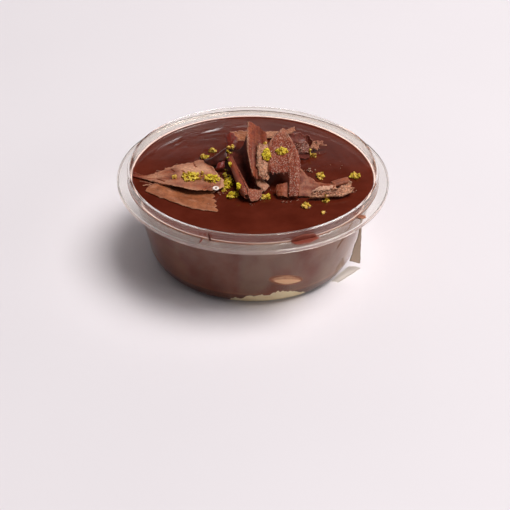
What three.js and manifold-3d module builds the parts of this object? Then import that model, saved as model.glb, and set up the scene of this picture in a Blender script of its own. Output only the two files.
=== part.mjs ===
// A profiterole dessert in its clear plastic cup: chocolate cream filled to just under the lip,
// a choux bun and a pale cream that show against the wall, and chocolate curls and flakes on top.
// Millimetres, +Z up. The origin is the centre of the cup's flat base, and the front faces -Y.

import * as THREE from "three";
import { mergeVertices } from "three/addons/utils/BufferGeometryUtils.js";
import Module from "manifold-3d";

const wasm = await Module();
wasm.setup();

// ---- Driving dimensions, mm ----
const GAP = 0.3; // clearance between pieces that touch

const CUP_SIDES = 56; // facets round the cup
const BASE_R = 33.7; // flat base
const BASE_T = 0.7; // thickness of the base
const HEEL_R = 37.8; // where the wall's slope would reach the table
const HEEL_Z = 4.8; // height at which the rounded heel begins
const RIB_Z = 5.5; // faint rib where the heel ends
const RIB_H = 0.22; // how far the rib stands out
const RIB_FADE_Z = 0.6; // height over which the rib fades into the wall
const MID_WALL_Z = 18; // a ring of points half way up the wall
const WALL_T = 0.5; // thickness of the wall
const WALL_TOP_R = 45.75; // outside of the wall under the flange
const FLANGE_R = 50.5; // flat rim
const FLANGE_Z = 32.3; // top of the flat rim, and level of the cream
const FLANGE_T = 0.6; // thickness of the flat rim
const SKIRT_H = 1.5; // turned-down edge of the flat rim
const LIP_R = 46.6; // outside of the raised lip
const LIP_TOP_Z = 36.2; // top of the raised lip
const LIP_T = 1.05; // thickness of the raised lip
const EDGE_ROUND = 0.3; // rounding of the flange's and the lip's edges
const LIP_FOOT_ROUND = 0.4; // rounding where the lip rises from the flange

const CREAM_Z = FLANGE_Z; // level of the chocolate cream
const SHAVING_T = 0.6; // thickness of a chocolate flake
const FILM_T = 0.35; // thickness of the clear film
const REST_Z = CREAM_Z + GAP + SHAVING_T / 2; // middle of a flake that lies on the cream

// ---- Colours and finishes ----
const CHOCOLATE = { color: 0x5a2a20, roughness: 0.25, metalness: 0 };
const SHAVING = { color: 0x7b4436, roughness: 0.55, metalness: 0 };
const DARK_SHAVING = { color: 0x4a241d, roughness: 0.5, metalness: 0 };
const PALE_SHAVING = { color: 0x9a7057, roughness: 0.55, metalness: 0 };
const PALE_CREAM = { color: 0xb2986f, roughness: 0.5, metalness: 0 };
const CHOUX = { color: 0xb4673f, roughness: 0.7, metalness: 0 };
const CLEAR = { color: 0xe8ece8, roughness: 0.08, metalness: 0, transparent: true, opacity: 0.35 };

// ---- Small helpers ----
const lerp = (a, b, t) => a + (b - a) * t;
const bump = (t) => Math.sin(Math.PI * Math.min(1, Math.max(0, t)));
const degrees = (d) => (d * Math.PI) / 180;
const flat = (value) => () => value;
const smoothStep = (t, from, to) => THREE.MathUtils.smoothstep(t, from, to);

function named(name, geometry, finish) {
  const mesh = new THREE.Mesh(geometry, new THREE.MeshStandardMaterial(finish));
  mesh.name = name;
  return mesh;
}

function solidOf(geometry) {
  const plain = geometry.clone();
  plain.deleteAttribute("normal");
  plain.deleteAttribute("uv");
  const merged = mergeVertices(plain, 1e-4);
  const vertProperties = new Float32Array(merged.attributes.position.array);
  const triVerts = new Uint32Array(merged.index.array);
  return new wasm.Manifold(new wasm.Mesh({ numProp: 3, vertProperties, triVerts }));
}

function geometryOf(solid) {
  const mesh = solid.getMesh();
  const geometry = new THREE.BufferGeometry();
  geometry.setAttribute("position", new THREE.BufferAttribute(mesh.vertProperties, 3));
  geometry.setIndex(new THREE.BufferAttribute(mesh.triVerts, 1));
  return geometry;
}

// ---- The cup ----
const wallRadius = (z) => lerp(HEEL_R, WALL_TOP_R, z / FLANGE_Z);

// The rounded heel, from the end of the flat base up to the straight wall, moved in by `inset`.
function heel(inset, baseZ) {
  const curve = new THREE.QuadraticBezierCurve(
    new THREE.Vector2(BASE_R - inset, baseZ),
    new THREE.Vector2(HEEL_R - inset, baseZ),
    new THREE.Vector2(wallRadius(HEEL_Z) - inset, HEEL_Z),
  );
  return curve.getPoints(5);
}

function lathe(points, sides) {
  const geometry = new THREE.LatheGeometry(points, sides);
  geometry.rotateX(Math.PI / 2); // LatheGeometry turns about Y, the cup stands along Z
  return geometryOf(solidOf(geometry));
}

function cupGeometry() {
  const at = (r, z) => new THREE.Vector2(r, z);
  const underside = FLANGE_Z - FLANGE_T;
  const lipIn = LIP_R - LIP_T;
  const profile = [
    at(0, 0),
    ...heel(0, 0),
    at(wallRadius(RIB_Z) + RIB_H, RIB_Z),
    at(wallRadius(RIB_Z + RIB_FADE_Z), RIB_Z + RIB_FADE_Z),
    at(wallRadius(MID_WALL_Z), MID_WALL_Z),
    at(wallRadius(underside), underside),
    at(FLANGE_R - FLANGE_T, underside),
    at(FLANGE_R - FLANGE_T, FLANGE_Z - SKIRT_H),
    at(FLANGE_R, FLANGE_Z - SKIRT_H),
    at(FLANGE_R, FLANGE_Z - EDGE_ROUND),
    at(FLANGE_R - EDGE_ROUND, FLANGE_Z),
    at(LIP_R + LIP_FOOT_ROUND, FLANGE_Z),
    at(LIP_R, FLANGE_Z + LIP_FOOT_ROUND),
    at(LIP_R, LIP_TOP_Z - EDGE_ROUND),
    at(LIP_R - EDGE_ROUND, LIP_TOP_Z),
    at(lipIn + EDGE_ROUND, LIP_TOP_Z),
    at(lipIn, LIP_TOP_Z - EDGE_ROUND),
    at(wallRadius(FLANGE_Z) - WALL_T, FLANGE_Z),
    at(wallRadius(MID_WALL_Z) - WALL_T, MID_WALL_Z),
    ...heel(WALL_T, BASE_T).reverse(),
    at(0, BASE_T),
  ];
  return lathe(profile, CUP_SIDES);
}

// ---- What fills the cup ----
function fillingSolid() {
  const inset = WALL_T + GAP;
  const bottom = BASE_T + GAP;
  const profile = [
    new THREE.Vector2(0, bottom),
    ...heel(inset, bottom),
    new THREE.Vector2(wallRadius(MID_WALL_Z) - inset, MID_WALL_Z),
    new THREE.Vector2(wallRadius(CREAM_Z) - inset, CREAM_Z),
    new THREE.Vector2(0, CREAM_Z),
  ];
  return solidOf(lathe(profile, CUP_SIDES));
}

// A rounded lump of half sizes `half`, standing against the wall at `turn` degrees right of the front.
function lump(half, turn, out, z, grow = 0) {
  const geometry = new THREE.SphereGeometry(1, 20, 12);
  geometry.scale(half[0] + grow, half[1] + grow, half[2] + grow);
  geometry.translate(0, -out, z);
  geometry.rotateZ(degrees(turn));
  return solidOf(geometry);
}

const BUN = { half: [7.0, 7.5, 4.8], turn: 17.3, out: 36.6, z: 12.4 };
const PALE = { half: [15.5, 13, 6.4], turn: 10.5, out: 31.5, z: 0.9 };
const lumpOf = (spec, grow) => lump(spec.half, spec.turn, spec.out, spec.z, grow);

function fillings() {
  const whole = fillingSolid();
  const bun = whole.intersect(lumpOf(BUN, 0));
  const pale = whole.intersect(lumpOf(PALE, 0));
  const chocolate = whole.subtract(lumpOf(BUN, GAP)).subtract(lumpOf(PALE, GAP));
  return [
    named("chocolate_cream", geometryOf(chocolate), CHOCOLATE),
    named("pale_cream", geometryOf(pale), PALE_CREAM),
    named("choux_bun", geometryOf(bun), CHOUX),
  ];
}

// ---- Thin bent pieces ----

// A closed sheet `thick` thick about the middle surface middle(u, v), with u and v from 0 to 1.
// `grow` widens it by that much all round, to cut its clearance out of a neighbour.
function sheet(middle, { thick = SHAVING_T, cols = 8, rows = 6, grow = 0 } = {}) {
  const spanU = middle(0, 0.5).distanceTo(middle(1, 0.5));
  const spanV = middle(0.5, 0).distanceTo(middle(0.5, 1));
  const edgeU = grow / Math.max(spanU, 2);
  const edgeV = grow / Math.max(spanV, 2);
  const across = cols + 1;
  const layer = across * (rows + 1);
  const step = 1e-3;
  const top = [];
  const bottom = [];
  for (let j = 0; j <= rows; j += 1) {
    for (let i = 0; i <= cols; i += 1) {
      const u = lerp(-edgeU, 1 + edgeU, i / cols);
      const v = lerp(-edgeV, 1 + edgeV, j / rows);
      const p = middle(u, v);
      const du = middle(u + step, v).sub(middle(u - step, v));
      const dv = middle(u, v + step).sub(middle(u, v - step));
      const normal = du.cross(dv).normalize().multiplyScalar(thick / 2 + grow);
      top.push(...p.clone().add(normal).toArray());
      bottom.push(...p.clone().sub(normal).toArray());
    }
  }
  const index = [];
  const quad = (a, b, c, d) => index.push(a, b, c, a, c, d);
  const at = (i, j) => j * across + i;
  for (let j = 0; j < rows; j += 1) {
    for (let i = 0; i < cols; i += 1) {
      const corners = [at(i, j), at(i + 1, j), at(i + 1, j + 1), at(i, j + 1)];
      quad(...corners);
      quad(...corners.map((c) => c + layer).reverse());
    }
  }
  const rim = [];
  for (let i = 0; i < cols; i += 1) rim.push(at(i, 0));
  for (let j = 0; j < rows; j += 1) rim.push(at(cols, j));
  for (let i = cols; i > 0; i -= 1) rim.push(at(i, rows));
  for (let j = rows; j > 0; j -= 1) rim.push(at(0, j));
  rim.forEach((a, k) => {
    const b = rim[(k + 1) % rim.length];
    quad(a, a + layer, b + layer, b);
  });
  const geometry = new THREE.BufferGeometry();
  geometry.setAttribute("position", new THREE.Float32BufferAttribute([...top, ...bottom], 3));
  geometry.setIndex(index);
  return geometry;
}

// An edge line in space through a few points, for t from 0 to 1. Past its ends it runs straight on.
function rail(...points) {
  const curve = new THREE.CatmullRomCurve3(points.map((point) => new THREE.Vector3(...point)));
  curve.curveType = "catmullrom";
  const length = curve.getLength();
  return (t) => {
    const held = THREE.MathUtils.clamp(t, 0, 1);
    return curve.getPoint(held).addScaledVector(curve.getTangent(held), (t - held) * length);
  };
}

// The middle surface between two edge lines that run the same way. `hollow` is how far it bends in
// from its face. Each roll is [radius, degrees at the near end, degrees at the far end], with a radius
// below zero for a roll away from the face. far(u) pushes the far end out by so many millimetres.
function leaf({ left, right, hollow = 0, leftRoll = [1, 0, 0], rightRoll = [1, 0, 0], far = flat(0) }) {
  return (u, v) => {
    const p = left(v);
    const q = right(v);
    const across = q.clone().sub(p);
    const width = across.length();
    const side = across.clone().normalize();
    const step = 0.02;
    const ahead = left(v + step).add(right(v + step)).sub(left(v - step)).sub(right(v - step)).normalize();
    const out = across.clone().cross(ahead).normalize();
    const slope = (4 * hollow) / width;
    const leftArc = Math.abs(leftRoll[0] * degrees(lerp(leftRoll[1], leftRoll[2], v)));
    const rightArc = Math.abs(rightRoll[0] * degrees(lerp(rightRoll[1], rightRoll[2], v)));
    const run = u * (width + leftArc + rightArc);
    const push = ahead.clone().multiplyScalar(far(u) * smoothStep(v, 0.55, 1));
    const rolled = (from, radius, past, outwards) => {
      const angle = past / radius;
      const normal = out.clone().addScaledVector(side, -outwards * slope).normalize();
      const outward = side.clone().multiplyScalar(outwards).addScaledVector(out, slope).normalize();
      return from
        .addScaledVector(normal, radius * (1 - Math.cos(angle)))
        .addScaledVector(outward, radius * Math.sin(angle))
        .add(push);
    };
    if (leftArc > 0 && run < leftArc) return rolled(p, leftRoll[0], leftArc - run, -1);
    if (rightArc > 0 && run > leftArc + width) return rolled(q, rightRoll[0], run - leftArc - width, 1);
    const t = (run - leftArc) / width;
    return p.addScaledVector(across, t).addScaledVector(out, -4 * hollow * t * (1 - t)).add(push);
  };
}

// ---- The flakes and curls on top ----
const scallops = (t, count, depth) => depth * Math.abs(Math.sin(Math.PI * count * t));

const LOWER_FLAKE = leaf({
  left: rail([-38.9, -11.8, REST_Z], [-36, -7.8, REST_Z], [-29.5, -9.2, REST_Z], [-14.8, -12.2, REST_Z]),
  right: rail([-39.4, -12.8, REST_Z], [-33.5, -16.8, REST_Z], [-22, -23.8, REST_Z], [-13.6, -25.6, REST_Z]),
  far: (u) => scallops(u + 0.1, 3.6, 0.9) - 0.4,
});

const UPPER_FLAKE = leaf({
  left: rail([-44.2, -1.2, 33.2], [-39.5, -2.6, 33.2], [-34.5, 0.8, 33.2], [-29.5, 4.8, 33.2],
    [-24.5, 6.6, 33.2], [-19.5, 8.8, 33.3], [-14.8, 3.0, 33.4]),
  right: rail([-44.2, -3.0, 33.2], [-39.5, -5.4, 33.3], [-34.0, -8.6, 33.6], [-28.5, -11.9, 34.6],
    [-23.0, -14.9, 35.0], [-17.0, -14.8, 34.6], [-11.4, -12.4, 33.8]),
  far: (u) => 2.2 * bump(u),
});

const RIDGE_FLAKE = leaf({
  left: rail([-18.4, 8.6, 34.2], [-15.6, 7.6, 34.9], [-13.2, 8.6, 36.2], [-10.4, 10.6, 37.6]),
  right: rail([-18.0, 6.8, 34.0], [-15.6, 4.9, 34.2], [-12.9, 5.2, 34.6], [-9.8, 6.8, 35.8]),
  hollow: -0.4,
});

// A tight roll about a line, seen from its near end: 0 degrees faces up, and the roll gets tighter
// both along it and with every degree of its turn.
const QUILL_FROM = new THREE.Vector3(-2.1, -19.4, 35.0);
const QUILL_TO = new THREE.Vector3(-8.9, 4.2, 37.5);
const QUILL_R = [1.75, 1.2];
const QUILL_SWEEP = [60, 400];
const QUILL_TIGHTENS = 0.3;

function quillMiddle(u, v) {
  const axis = QUILL_TO.clone().sub(QUILL_FROM).normalize();
  const faceUp = new THREE.Vector3(0, -0.56, 0.83);
  faceUp.addScaledVector(axis, -faceUp.dot(axis)).normalize();
  const rightward = axis.clone().cross(faceUp);
  const angle = degrees(lerp(...QUILL_SWEEP, u));
  const r = lerp(...QUILL_R, v) * (1 - QUILL_TIGHTENS * u);
  return QUILL_FROM.clone().lerp(QUILL_TO, v)
    .addScaledVector(faceUp, r * Math.cos(angle))
    .addScaledVector(rightward, r * Math.sin(angle));
}

const HOLLOW = leaf({
  left: rail([-4.0, -10.6, 33.4], [-6.0, -4.6, 34.4], [-8.0, 1.4, 35.6], [-9.6, 6.4, 36.6],
    [-10.6, 10.6, 37.2]),
  right: rail([1.0, -10.0, 34.4], [-0.4, -4.2, 37.2], [-1.6, 1.6, 39.8], [-2.2, 7.0, 41.4],
    [-2.8, 12.4, 41.6]),
  hollow: 2.6,
});

const TALL = leaf({
  left: rail([0.0, -9.4, 37.0], [-1.0, -4.6, 39.2], [-1.9, 0.4, 41.7], [-2.2, 5.0, 44.1], [-2.1, 13.0, 46.0]),
  right: rail([2.6, -9.6, 36.8], [4.0, -4.5, 38.6], [4.9, 0.5, 40.6], [5.1, 5.0, 42.8], [4.4, 10.4, 45.0]),
  hollow: 0.55,
  far: (u) => 1.8 * bump(lerp(0.25, 1, u)),
});

const FLAP = leaf({
  left: rail([1.8, -7.6, 37.2], [1.5, -4.2, 39.4], [1.3, -0.4, 41.4], [1.6, 3.8, 43.0]),
  right: rail([5.8, -9.0, 36.0], [6.3, -4.4, 38.3], [5.8, -0.2, 40.4], [4.9, 4.0, 42.6]),
  hollow: -0.7,
});

// The widest shaving arches over the pile, is rolled under along its left, and stands on one leg.
const BRIDGE_SIDES = leaf({
  left: rail([7.0, -17.4, 34.2], [7.0, -11.4, 37.0], [6.7, -5.4, 39.7], [6.4, 0.6, 41.5],
    [7.4, 6.4, 42.6], [9.3, 11.2, 43.0], [11.6, 15.4, 43.1]),
  right: rail([14.8, -17.2, 33.8], [15.4, -12.4, 36.6], [15.8, -6.6, 39.2], [15.4, -0.4, 41.2],
    [14.2, 5.0, 42.1], [12.8, 9.6, 42.7], [12.6, 13.0, 42.9]),
  hollow: 0.2,
  leftRoll: [-1.3, 30, 215],
  rightRoll: [-1.6, 60, 60],
});
const BRIDGE_LEG = 0.68; // share of the width, from the left, at which the leg begins
const BRIDGE_HOLE = 0.245; // share of the length that is broken away left of the leg

function bridgeMiddle(u, v) {
  const open = BRIDGE_HOLE * (1 - smoothStep(u, BRIDGE_LEG - 0.05, BRIDGE_LEG + 0.01));
  return BRIDGE_SIDES(u, lerp(open, 1, v));
}

const FAN = leaf({
  left: rail([16.9, -15.8, 33.2], [16.8, -10.0, 35.6], [16.9, -4.4, 38.3]),
  right: rail([30.4, -13.2, 34.0], [30.2, -10.8, 34.3], [30.0, -8.2, 34.3]),
  hollow: 0.7,
  far: (u) => -2.6 * bump(u),
});

const FAN_RIM = leaf({
  left: rail([20.6, -15.8, 34.4], [24.2, -14.9, 35.1], [28.4, -13.9, 35.5], [32.0, -12.0, 35.5],
    [35.0, -9.0, 35.5]),
  right: rail([20.2, -16.9, 33.3], [24.2, -16.6, 33.4], [28.6, -15.8, 33.4], [32.4, -15.3, 33.4],
    [35.4, -12.9, 33.6]),
  hollow: 0.3,
});

const FAN_ROLL = leaf({
  left: rail([28.8, -8.0, 35.2], [31.8, -6.4, 35.2], [34.8, -5.0, 35.2]),
  right: rail([29.6, -9.5, 35.0], [32.4, -8.1, 35.0], [35.5, -6.7, 35.0]),
  hollow: -0.15,
  leftRoll: [-0.85, 120, 120],
  rightRoll: [-0.8, 120, 120],
});

// Small pieces: the left or back edge, the right or front edge, and how far they bend.
const small = (left, right, hollow) => leaf({ left: rail(...left), right: rail(...right), hollow });

const INNER_CHIP = small(
  [[4.1, -12.6, 33.5], [1.9, -11.2, 34.4], [0.3, -8.0, 35.8]],
  [[6.2, -10.4, 33.6], [3.9, -9.4, 35.0], [1.7, -7.4, 36.0]],
  -0.2,
);
const ARCH_CHIP = small(
  [[9.0, -16.6, 33.2], [8.2, -14.2, 34.2], [8.3, -11.4, 35.2]],
  [[12.6, -17.0, 33.2], [13.0, -14.4, 34.2], [13.2, -11.6, 35.4]],
  -0.7,
);
const BACK_TOP_FLAKE = small(
  [[11.0, 15.0, 42.0], [13.2, 16.8, 42.5], [15.4, 18.0, 42.7]],
  [[11.6, 13.4, 41.6], [13.5, 14.8, 42.0], [15.8, 15.8, 42.1]],
  -0.3,
);
const BACK_DARK_SHARD = small(
  [[12.2, 17.4, 40.4], [15.4, 18.0, 40.2], [18.0, 19.2, 39.4], [20.4, 19.0, 38.2]],
  [[13.0, 15.6, 39.0], [15.4, 15.8, 37.4], [18.0, 16.6, 36.6], [19.8, 17.4, 36.8]],
  0.4,
);
const BACK_RIGHT_SHARD = small(
  [[18.4, 17.2, 34.4], [18.2, 17.8, 36.4], [17.6, 18.4, 38.7]],
  [[22.6, 19.0, 34.2], [22.9, 19.3, 36.2], [21.2, 19.6, 38.3]],
  0.5,
);
const SIDE_BLOCK = small(
  [[17.0, 12.4, 34.4], [16.2, 14.0, 36.0], [15.6, 15.2, 37.6]],
  [[21.4, 14.2, 34.0], [20.9, 15.8, 35.6], [20.2, 17.0, 37.2]],
  -0.5,
);
const BACK_PALE_FLAKE = small(
  [[-9.2, 20.2, 38.8], [-5.7, 20.9, 38.9], [-2.0, 20.6, 39.0]],
  [[-7.6, 16.4, 37.4], [-5.2, 16.0, 37.6], [-2.8, 15.4, 37.8]],
  0.2,
);
const SMALL_PALE_FLAKE = small(
  [[5.3, 31.2, REST_Z], [7.0, 31.4, REST_Z], [8.8, 31.0, REST_Z]],
  [[4.9, 26.4, REST_Z], [6.6, 26.6, REST_Z], [8.4, 27.0, REST_Z]],
  0.1,
);
const RED_CORNER = small(
  [[-9.4, 9.2, 37.6], [-10.3, 12.2, 39.2], [-10.4, 15.4, 40.6]],
  [[-7.0, 9.0, 37.9], [-5.9, 11.4, 39.6], [-7.6, 15.6, 40.9]],
  -0.4,
);

// Those that keep their whole outline come first. Each later one is cut back round them.
const SHAVINGS = [
  { name: "tall_curl", middle: TALL, finish: SHAVING, cols: 6, rows: 10 },
  { name: "bridge_curl", middle: bridgeMiddle, finish: SHAVING, cols: 15, rows: 9 },
  { name: "quill_curl", middle: quillMiddle, finish: SHAVING, cols: 14, rows: 5 },
  { name: "flap_flake", middle: FLAP, finish: SHAVING, cols: 4, rows: 5 },
  { name: "left_upper_flake", middle: UPPER_FLAKE, finish: SHAVING, cols: 6, rows: 12 },
  { name: "left_lower_flake", middle: LOWER_FLAKE, finish: PALE_SHAVING, cols: 8, rows: 8 },
  { name: "fan_rim", middle: FAN_RIM, finish: SHAVING, cols: 3, rows: 8 },
  { name: "fan_roll", middle: FAN_ROLL, finish: SHAVING, cols: 9, rows: 3 },
  { name: "fan_flake", middle: FAN, finish: SHAVING, cols: 7, rows: 5 },
  { name: "arch_chip", middle: ARCH_CHIP, finish: PALE_SHAVING, cols: 4, rows: 3 },
  { name: "inner_chip", middle: INNER_CHIP, finish: PALE_SHAVING, cols: 3, rows: 4 },
  { name: "ridge_flake", middle: RIDGE_FLAKE, finish: DARK_SHAVING, cols: 3, rows: 6 },
  { name: "red_corner", middle: RED_CORNER, finish: DARK_SHAVING, cols: 3, rows: 3 },
  { name: "back_top_flake", middle: BACK_TOP_FLAKE, finish: SHAVING, cols: 2, rows: 3 },
  { name: "back_dark_shard", middle: BACK_DARK_SHARD, finish: DARK_SHAVING, cols: 3, rows: 4 },
  { name: "side_block", middle: SIDE_BLOCK, finish: DARK_SHAVING, cols: 3, rows: 3 },
  { name: "back_right_shard", middle: BACK_RIGHT_SHARD, finish: DARK_SHAVING, cols: 3, rows: 3 },
  { name: "back_pale_flake", middle: BACK_PALE_FLAKE, finish: PALE_SHAVING, cols: 3, rows: 3 },
  { name: "small_pale_flake", middle: SMALL_PALE_FLAKE, finish: PALE_SHAVING, cols: 3, rows: 3 },
  { name: "hollow_curl", middle: HOLLOW, finish: DARK_SHAVING, cols: 8, rows: 6 },
];
const LEAST_CUT = 1e-3; // overlaps of less than this many cubic millimetres are left alone

function largestBody(solid) {
  return solid.decompose().sort((a, b) => b.volume() - a.volume())[0];
}

function toppings() {
  const placed = [];
  return SHAVINGS.map(({ name, middle, finish, cols, rows }) => {
    let solid = solidOf(sheet(middle, { cols, rows })).trimByPlane([0, 0, 1], CREAM_Z + GAP);
    for (const other of placed) {
      if (solid.intersect(other).volume() > LEAST_CUT) solid = largestBody(solid.subtract(other));
    }
    placed.push(solidOf(sheet(middle, { cols, rows, grow: GAP })));
    return named(name, geometryOf(solid), finish);
  });
}

// ---- The clear film that hangs from the rim at the right ----
// Points given as angle from the front in degrees, radius and height.
const roundTheCup = (...points) => rail(...points.map(([turn, r, z]) => (
  [r * Math.sin(degrees(turn)), -r * Math.cos(degrees(turn)), z]
)));

const FILM = leaf({
  left: roundTheCup([56.6, 46.2, 30.4], [57.0, 45.8, 24.0], [55.0, 45.0, 18.0], [52.8, 44.5, 12.6]),
  right: roundTheCup([57.8, 46.4, 30.4], [57.4, 46.6, 24.0], [57.2, 46.9, 17.0], [57.0, 47.2, 10.6]),
  hollow: 0.3,
});

const object = new THREE.Group();
object.add(named("cup", cupGeometry(), CLEAR));
object.add(...fillings());
object.add(...toppings());
object.add(named("film_tab", sheet(FILM, { cols: 3, rows: 6, thick: FILM_T }), CLEAR));

export default object;
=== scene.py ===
# %% [markdown]
# # A chocolate profiterole dessert in its clear cup
# The real thing is a shallow thermoformed cup, filled to its flat rim with glossy chocolate cream. A choux
# bun and some pale cream touch the wall, and a loose pile of chocolate shavings and chopped pistachio lies
# on top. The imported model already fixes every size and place, so this script only makes the fine shapes
# and the finishes around it. It works in millimetres and turns them to metres as each piece is finished.

import math
import random

import bmesh
import bpy
from mathutils import Matrix, Quaternion, Vector, noise
from mathutils.bvhtree import BVHTree


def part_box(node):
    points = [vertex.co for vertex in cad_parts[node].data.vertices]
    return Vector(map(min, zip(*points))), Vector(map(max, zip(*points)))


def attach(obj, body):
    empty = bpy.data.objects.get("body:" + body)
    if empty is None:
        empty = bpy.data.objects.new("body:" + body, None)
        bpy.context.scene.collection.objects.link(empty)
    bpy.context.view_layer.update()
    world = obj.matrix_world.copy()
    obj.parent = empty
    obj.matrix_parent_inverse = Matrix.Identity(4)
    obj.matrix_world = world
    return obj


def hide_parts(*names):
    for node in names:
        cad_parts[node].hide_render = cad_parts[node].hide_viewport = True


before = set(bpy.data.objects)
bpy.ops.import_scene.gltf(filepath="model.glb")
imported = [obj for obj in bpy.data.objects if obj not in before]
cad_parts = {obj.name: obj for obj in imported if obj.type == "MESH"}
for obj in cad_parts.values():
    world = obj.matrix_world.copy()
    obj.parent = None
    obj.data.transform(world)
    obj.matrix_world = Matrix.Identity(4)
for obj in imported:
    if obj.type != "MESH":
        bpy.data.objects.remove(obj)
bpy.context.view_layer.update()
noise.seed_set(2)  # so that torn edges come out the same every time
MM = 0.001
print("nodes:", sorted(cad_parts))

# %% Small helpers for shapes
def lerp(a, b, t):
    return a + (b - a) * t


def clamp(t):
    return min(1.0, max(0.0, t))


def bump(t):
    """A smooth hill that rises from 0 and falls back to 0 while t goes from 0 to 1."""
    return math.sin(math.pi * clamp(t))


def ease(t, start, end):
    """A smooth step from 0 at start to 1 at end."""
    t = clamp((t - start) / (end - start))
    return t * t * (3 - 2 * t)


def through(*values):
    """A smooth curve of t that passes through values spaced evenly from t = 0 to t = 1."""
    last = len(values) - 1

    def curve(t):
        t = clamp(t) * last
        i = min(int(t), last - 1)
        f = t - i
        before, here, there, after = (values[max(0, min(last, k))] for k in (i - 1, i, i + 1, i + 2))
        slope, end_slope = (there - before) / 2, (after - here) / 2
        h = f * f * (3 - 2 * f)
        return lerp(here, there, h) + slope * f * (1 - f) ** 2 - end_slope * f * f * (1 - f)
    return curve


def on_circle(turn, r, z):
    """A place given by its angle from the front in radians, its radius and its height."""
    return r * math.sin(turn), -r * math.cos(turn), z


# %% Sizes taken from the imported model
cup_corner, cream_corner = (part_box(node)[1] / MM for node in ("cup", "chocolate_cream"))
FLANGE_R = cup_corner.x
LIP_TOP_Z = cup_corner.z
CREAM_Z = cream_corner.z
FLANGE_Z = CREAM_Z
print("rim radius", round(FLANGE_R, 2), "lip top", round(LIP_TOP_Z, 2), "cream level", round(CREAM_Z, 2))

# %% [markdown]
# ## Camera and lights
# The camera looks down at about a third of a right angle through a long lens, which keeps the cup's
# ellipses flat. The light is that of a small photo table: one large soft lamp high on the right, so
# that shadows fall to the left, low cards behind that the glossy cream mirrors, a weak fill at the right
# and a pale surround. A view transform without a film curve keeps the browns as they are mixed.

# %% Camera
CAMERA_DISTANCE = 500.0
CAMERA_ELEVATION = math.radians(34.3)
CAMERA_ROLL = math.radians(0.89)
LENS = 91.3
AIM = Vector((1.17, -1.88, -2.76))

scene = bpy.context.scene
place = Vector((0, -math.cos(CAMERA_ELEVATION), math.sin(CAMERA_ELEVATION))) * CAMERA_DISTANCE
camera_data = bpy.data.cameras.new("camera")
camera_data.lens = LENS
camera_data.sensor_width = 36.0
camera_data.clip_start = 0.01
camera = bpy.data.objects.new("camera", camera_data)
scene.collection.objects.link(camera)
camera.location = place * MM
look = (AIM - place).to_track_quat("-Z", "Y")
camera.rotation_euler = (look @ Quaternion((0, 0, 1), CAMERA_ROLL)).to_euler()
scene.camera = camera
scene.view_settings.view_transform = "Standard"
print("camera at", [round(c) for c in place], "mm")


# %% Lights
def soft_lamp(name, where, aim, size, watts, colour=(1, 1, 1)):
    """An area lamp. where and aim are in millimetres, and size is its width and height."""
    data = bpy.data.lights.new(name, "AREA")
    data.shape = "RECTANGLE"
    data.size, data.size_y = size[0] * MM, size[1] * MM
    data.energy = watts
    data.color = colour
    lamp = bpy.data.objects.new(name, data)
    scene.collection.objects.link(lamp)
    lamp.location = Vector(where) * MM
    lamp.rotation_euler = (Vector(aim) - Vector(where)).to_track_quat("-Z", "Y").to_euler()
    return lamp


soft_lamp("key lamp", where=(944, 152, 2080), aim=(0, 0, 20), size=(1280, 1280), watts=58.0,
          colour=(1.0, 0.98, 0.97))
soft_lamp("right fill", where=(760, -380, 400), aim=(0, 0, 15), size=(400, 300), watts=1.1)

# %% Cards behind the cup
# name, place, the spot on the cream that mirrors it, size, watts, and whether it shows through the plastic:
# the two at the left have to reach the cream close behind the lip, and the others would only grey the lip
CARDS = [
    ("back card, far left", (-80, 560, 326), (-18, 34, 32), (30, 8), 0.005, True),
    ("back card, left", (-54, 560, 313), (-18, 34, 32), (48, 9), 0.017, True),
    ("back card, upper", (-18, 560, 292), (-8, 41, 32), (112, 22), 0.042, False),
    ("back card, wide", (70, 560, 332), (10, 25, 32), (150, 46), 0.005, False),
    ("side card", (300, 520, 340), (30, 15, 32), (120, 130), 0.0032, False),
]
for name, where, aim, size, watts, through_plastic in CARDS:
    soft_lamp(name, where, aim, size, watts).visible_transmission = through_plastic
print(len(CARDS), "cards")

# %% [markdown]
# ## Materials
# Each finish starts from what the real stuff is. Colours are written as the hex values that a colour
# picker gives and turned to linear light by one function. Patterns use object coordinates in metres, so a
# scale of 1000 means one repeat per millimetre.

# %% Colour and node helpers
def linear(hex_colour):
    """An sRGB hex colour such as "#7b4436" as the linear RGBA that shaders use."""
    parts = [int(hex_colour[i:i + 2], 16) / 255 for i in (1, 3, 5)]
    return (*[c / 12.92 if c <= 0.04045 else ((c + 0.055) / 1.055) ** 2.4 for c in parts], 1.0)


def add(tree, kind, links=None, stops=(), **settings):
    """Adds one node with its settings. links gives each input a value, a node that stands for its own
    first output, or one of a node's other outputs. stops are the (position, colour) pairs of a ramp."""
    made = tree.nodes.new("ShaderNode" + kind)
    for key, value in settings.items():
        setattr(made, key, value)
    for number, (position, colour) in enumerate(stops):
        ramp = made.color_ramp.elements
        stop = ramp[number] if number < 2 else ramp.new(position)
        stop.position, stop.color = position, colour
    for key, value in (links or {}).items():
        if isinstance(value, bpy.types.Node):
            value = value.outputs[0]
        if isinstance(value, bpy.types.NodeSocket):
            tree.links.new(value, made.inputs[key])
        else:
            made.inputs[key].default_value = value
    return made


def new_material(name):
    """A material with an empty node tree, and its object coordinates in metres."""
    material = bpy.data.materials.new(name)
    material.use_nodes = True
    tree = material.node_tree
    tree.nodes.clear()
    return material, tree, add(tree, "TexCoord").outputs["Object"]


PER_MM = 1000.0

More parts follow.
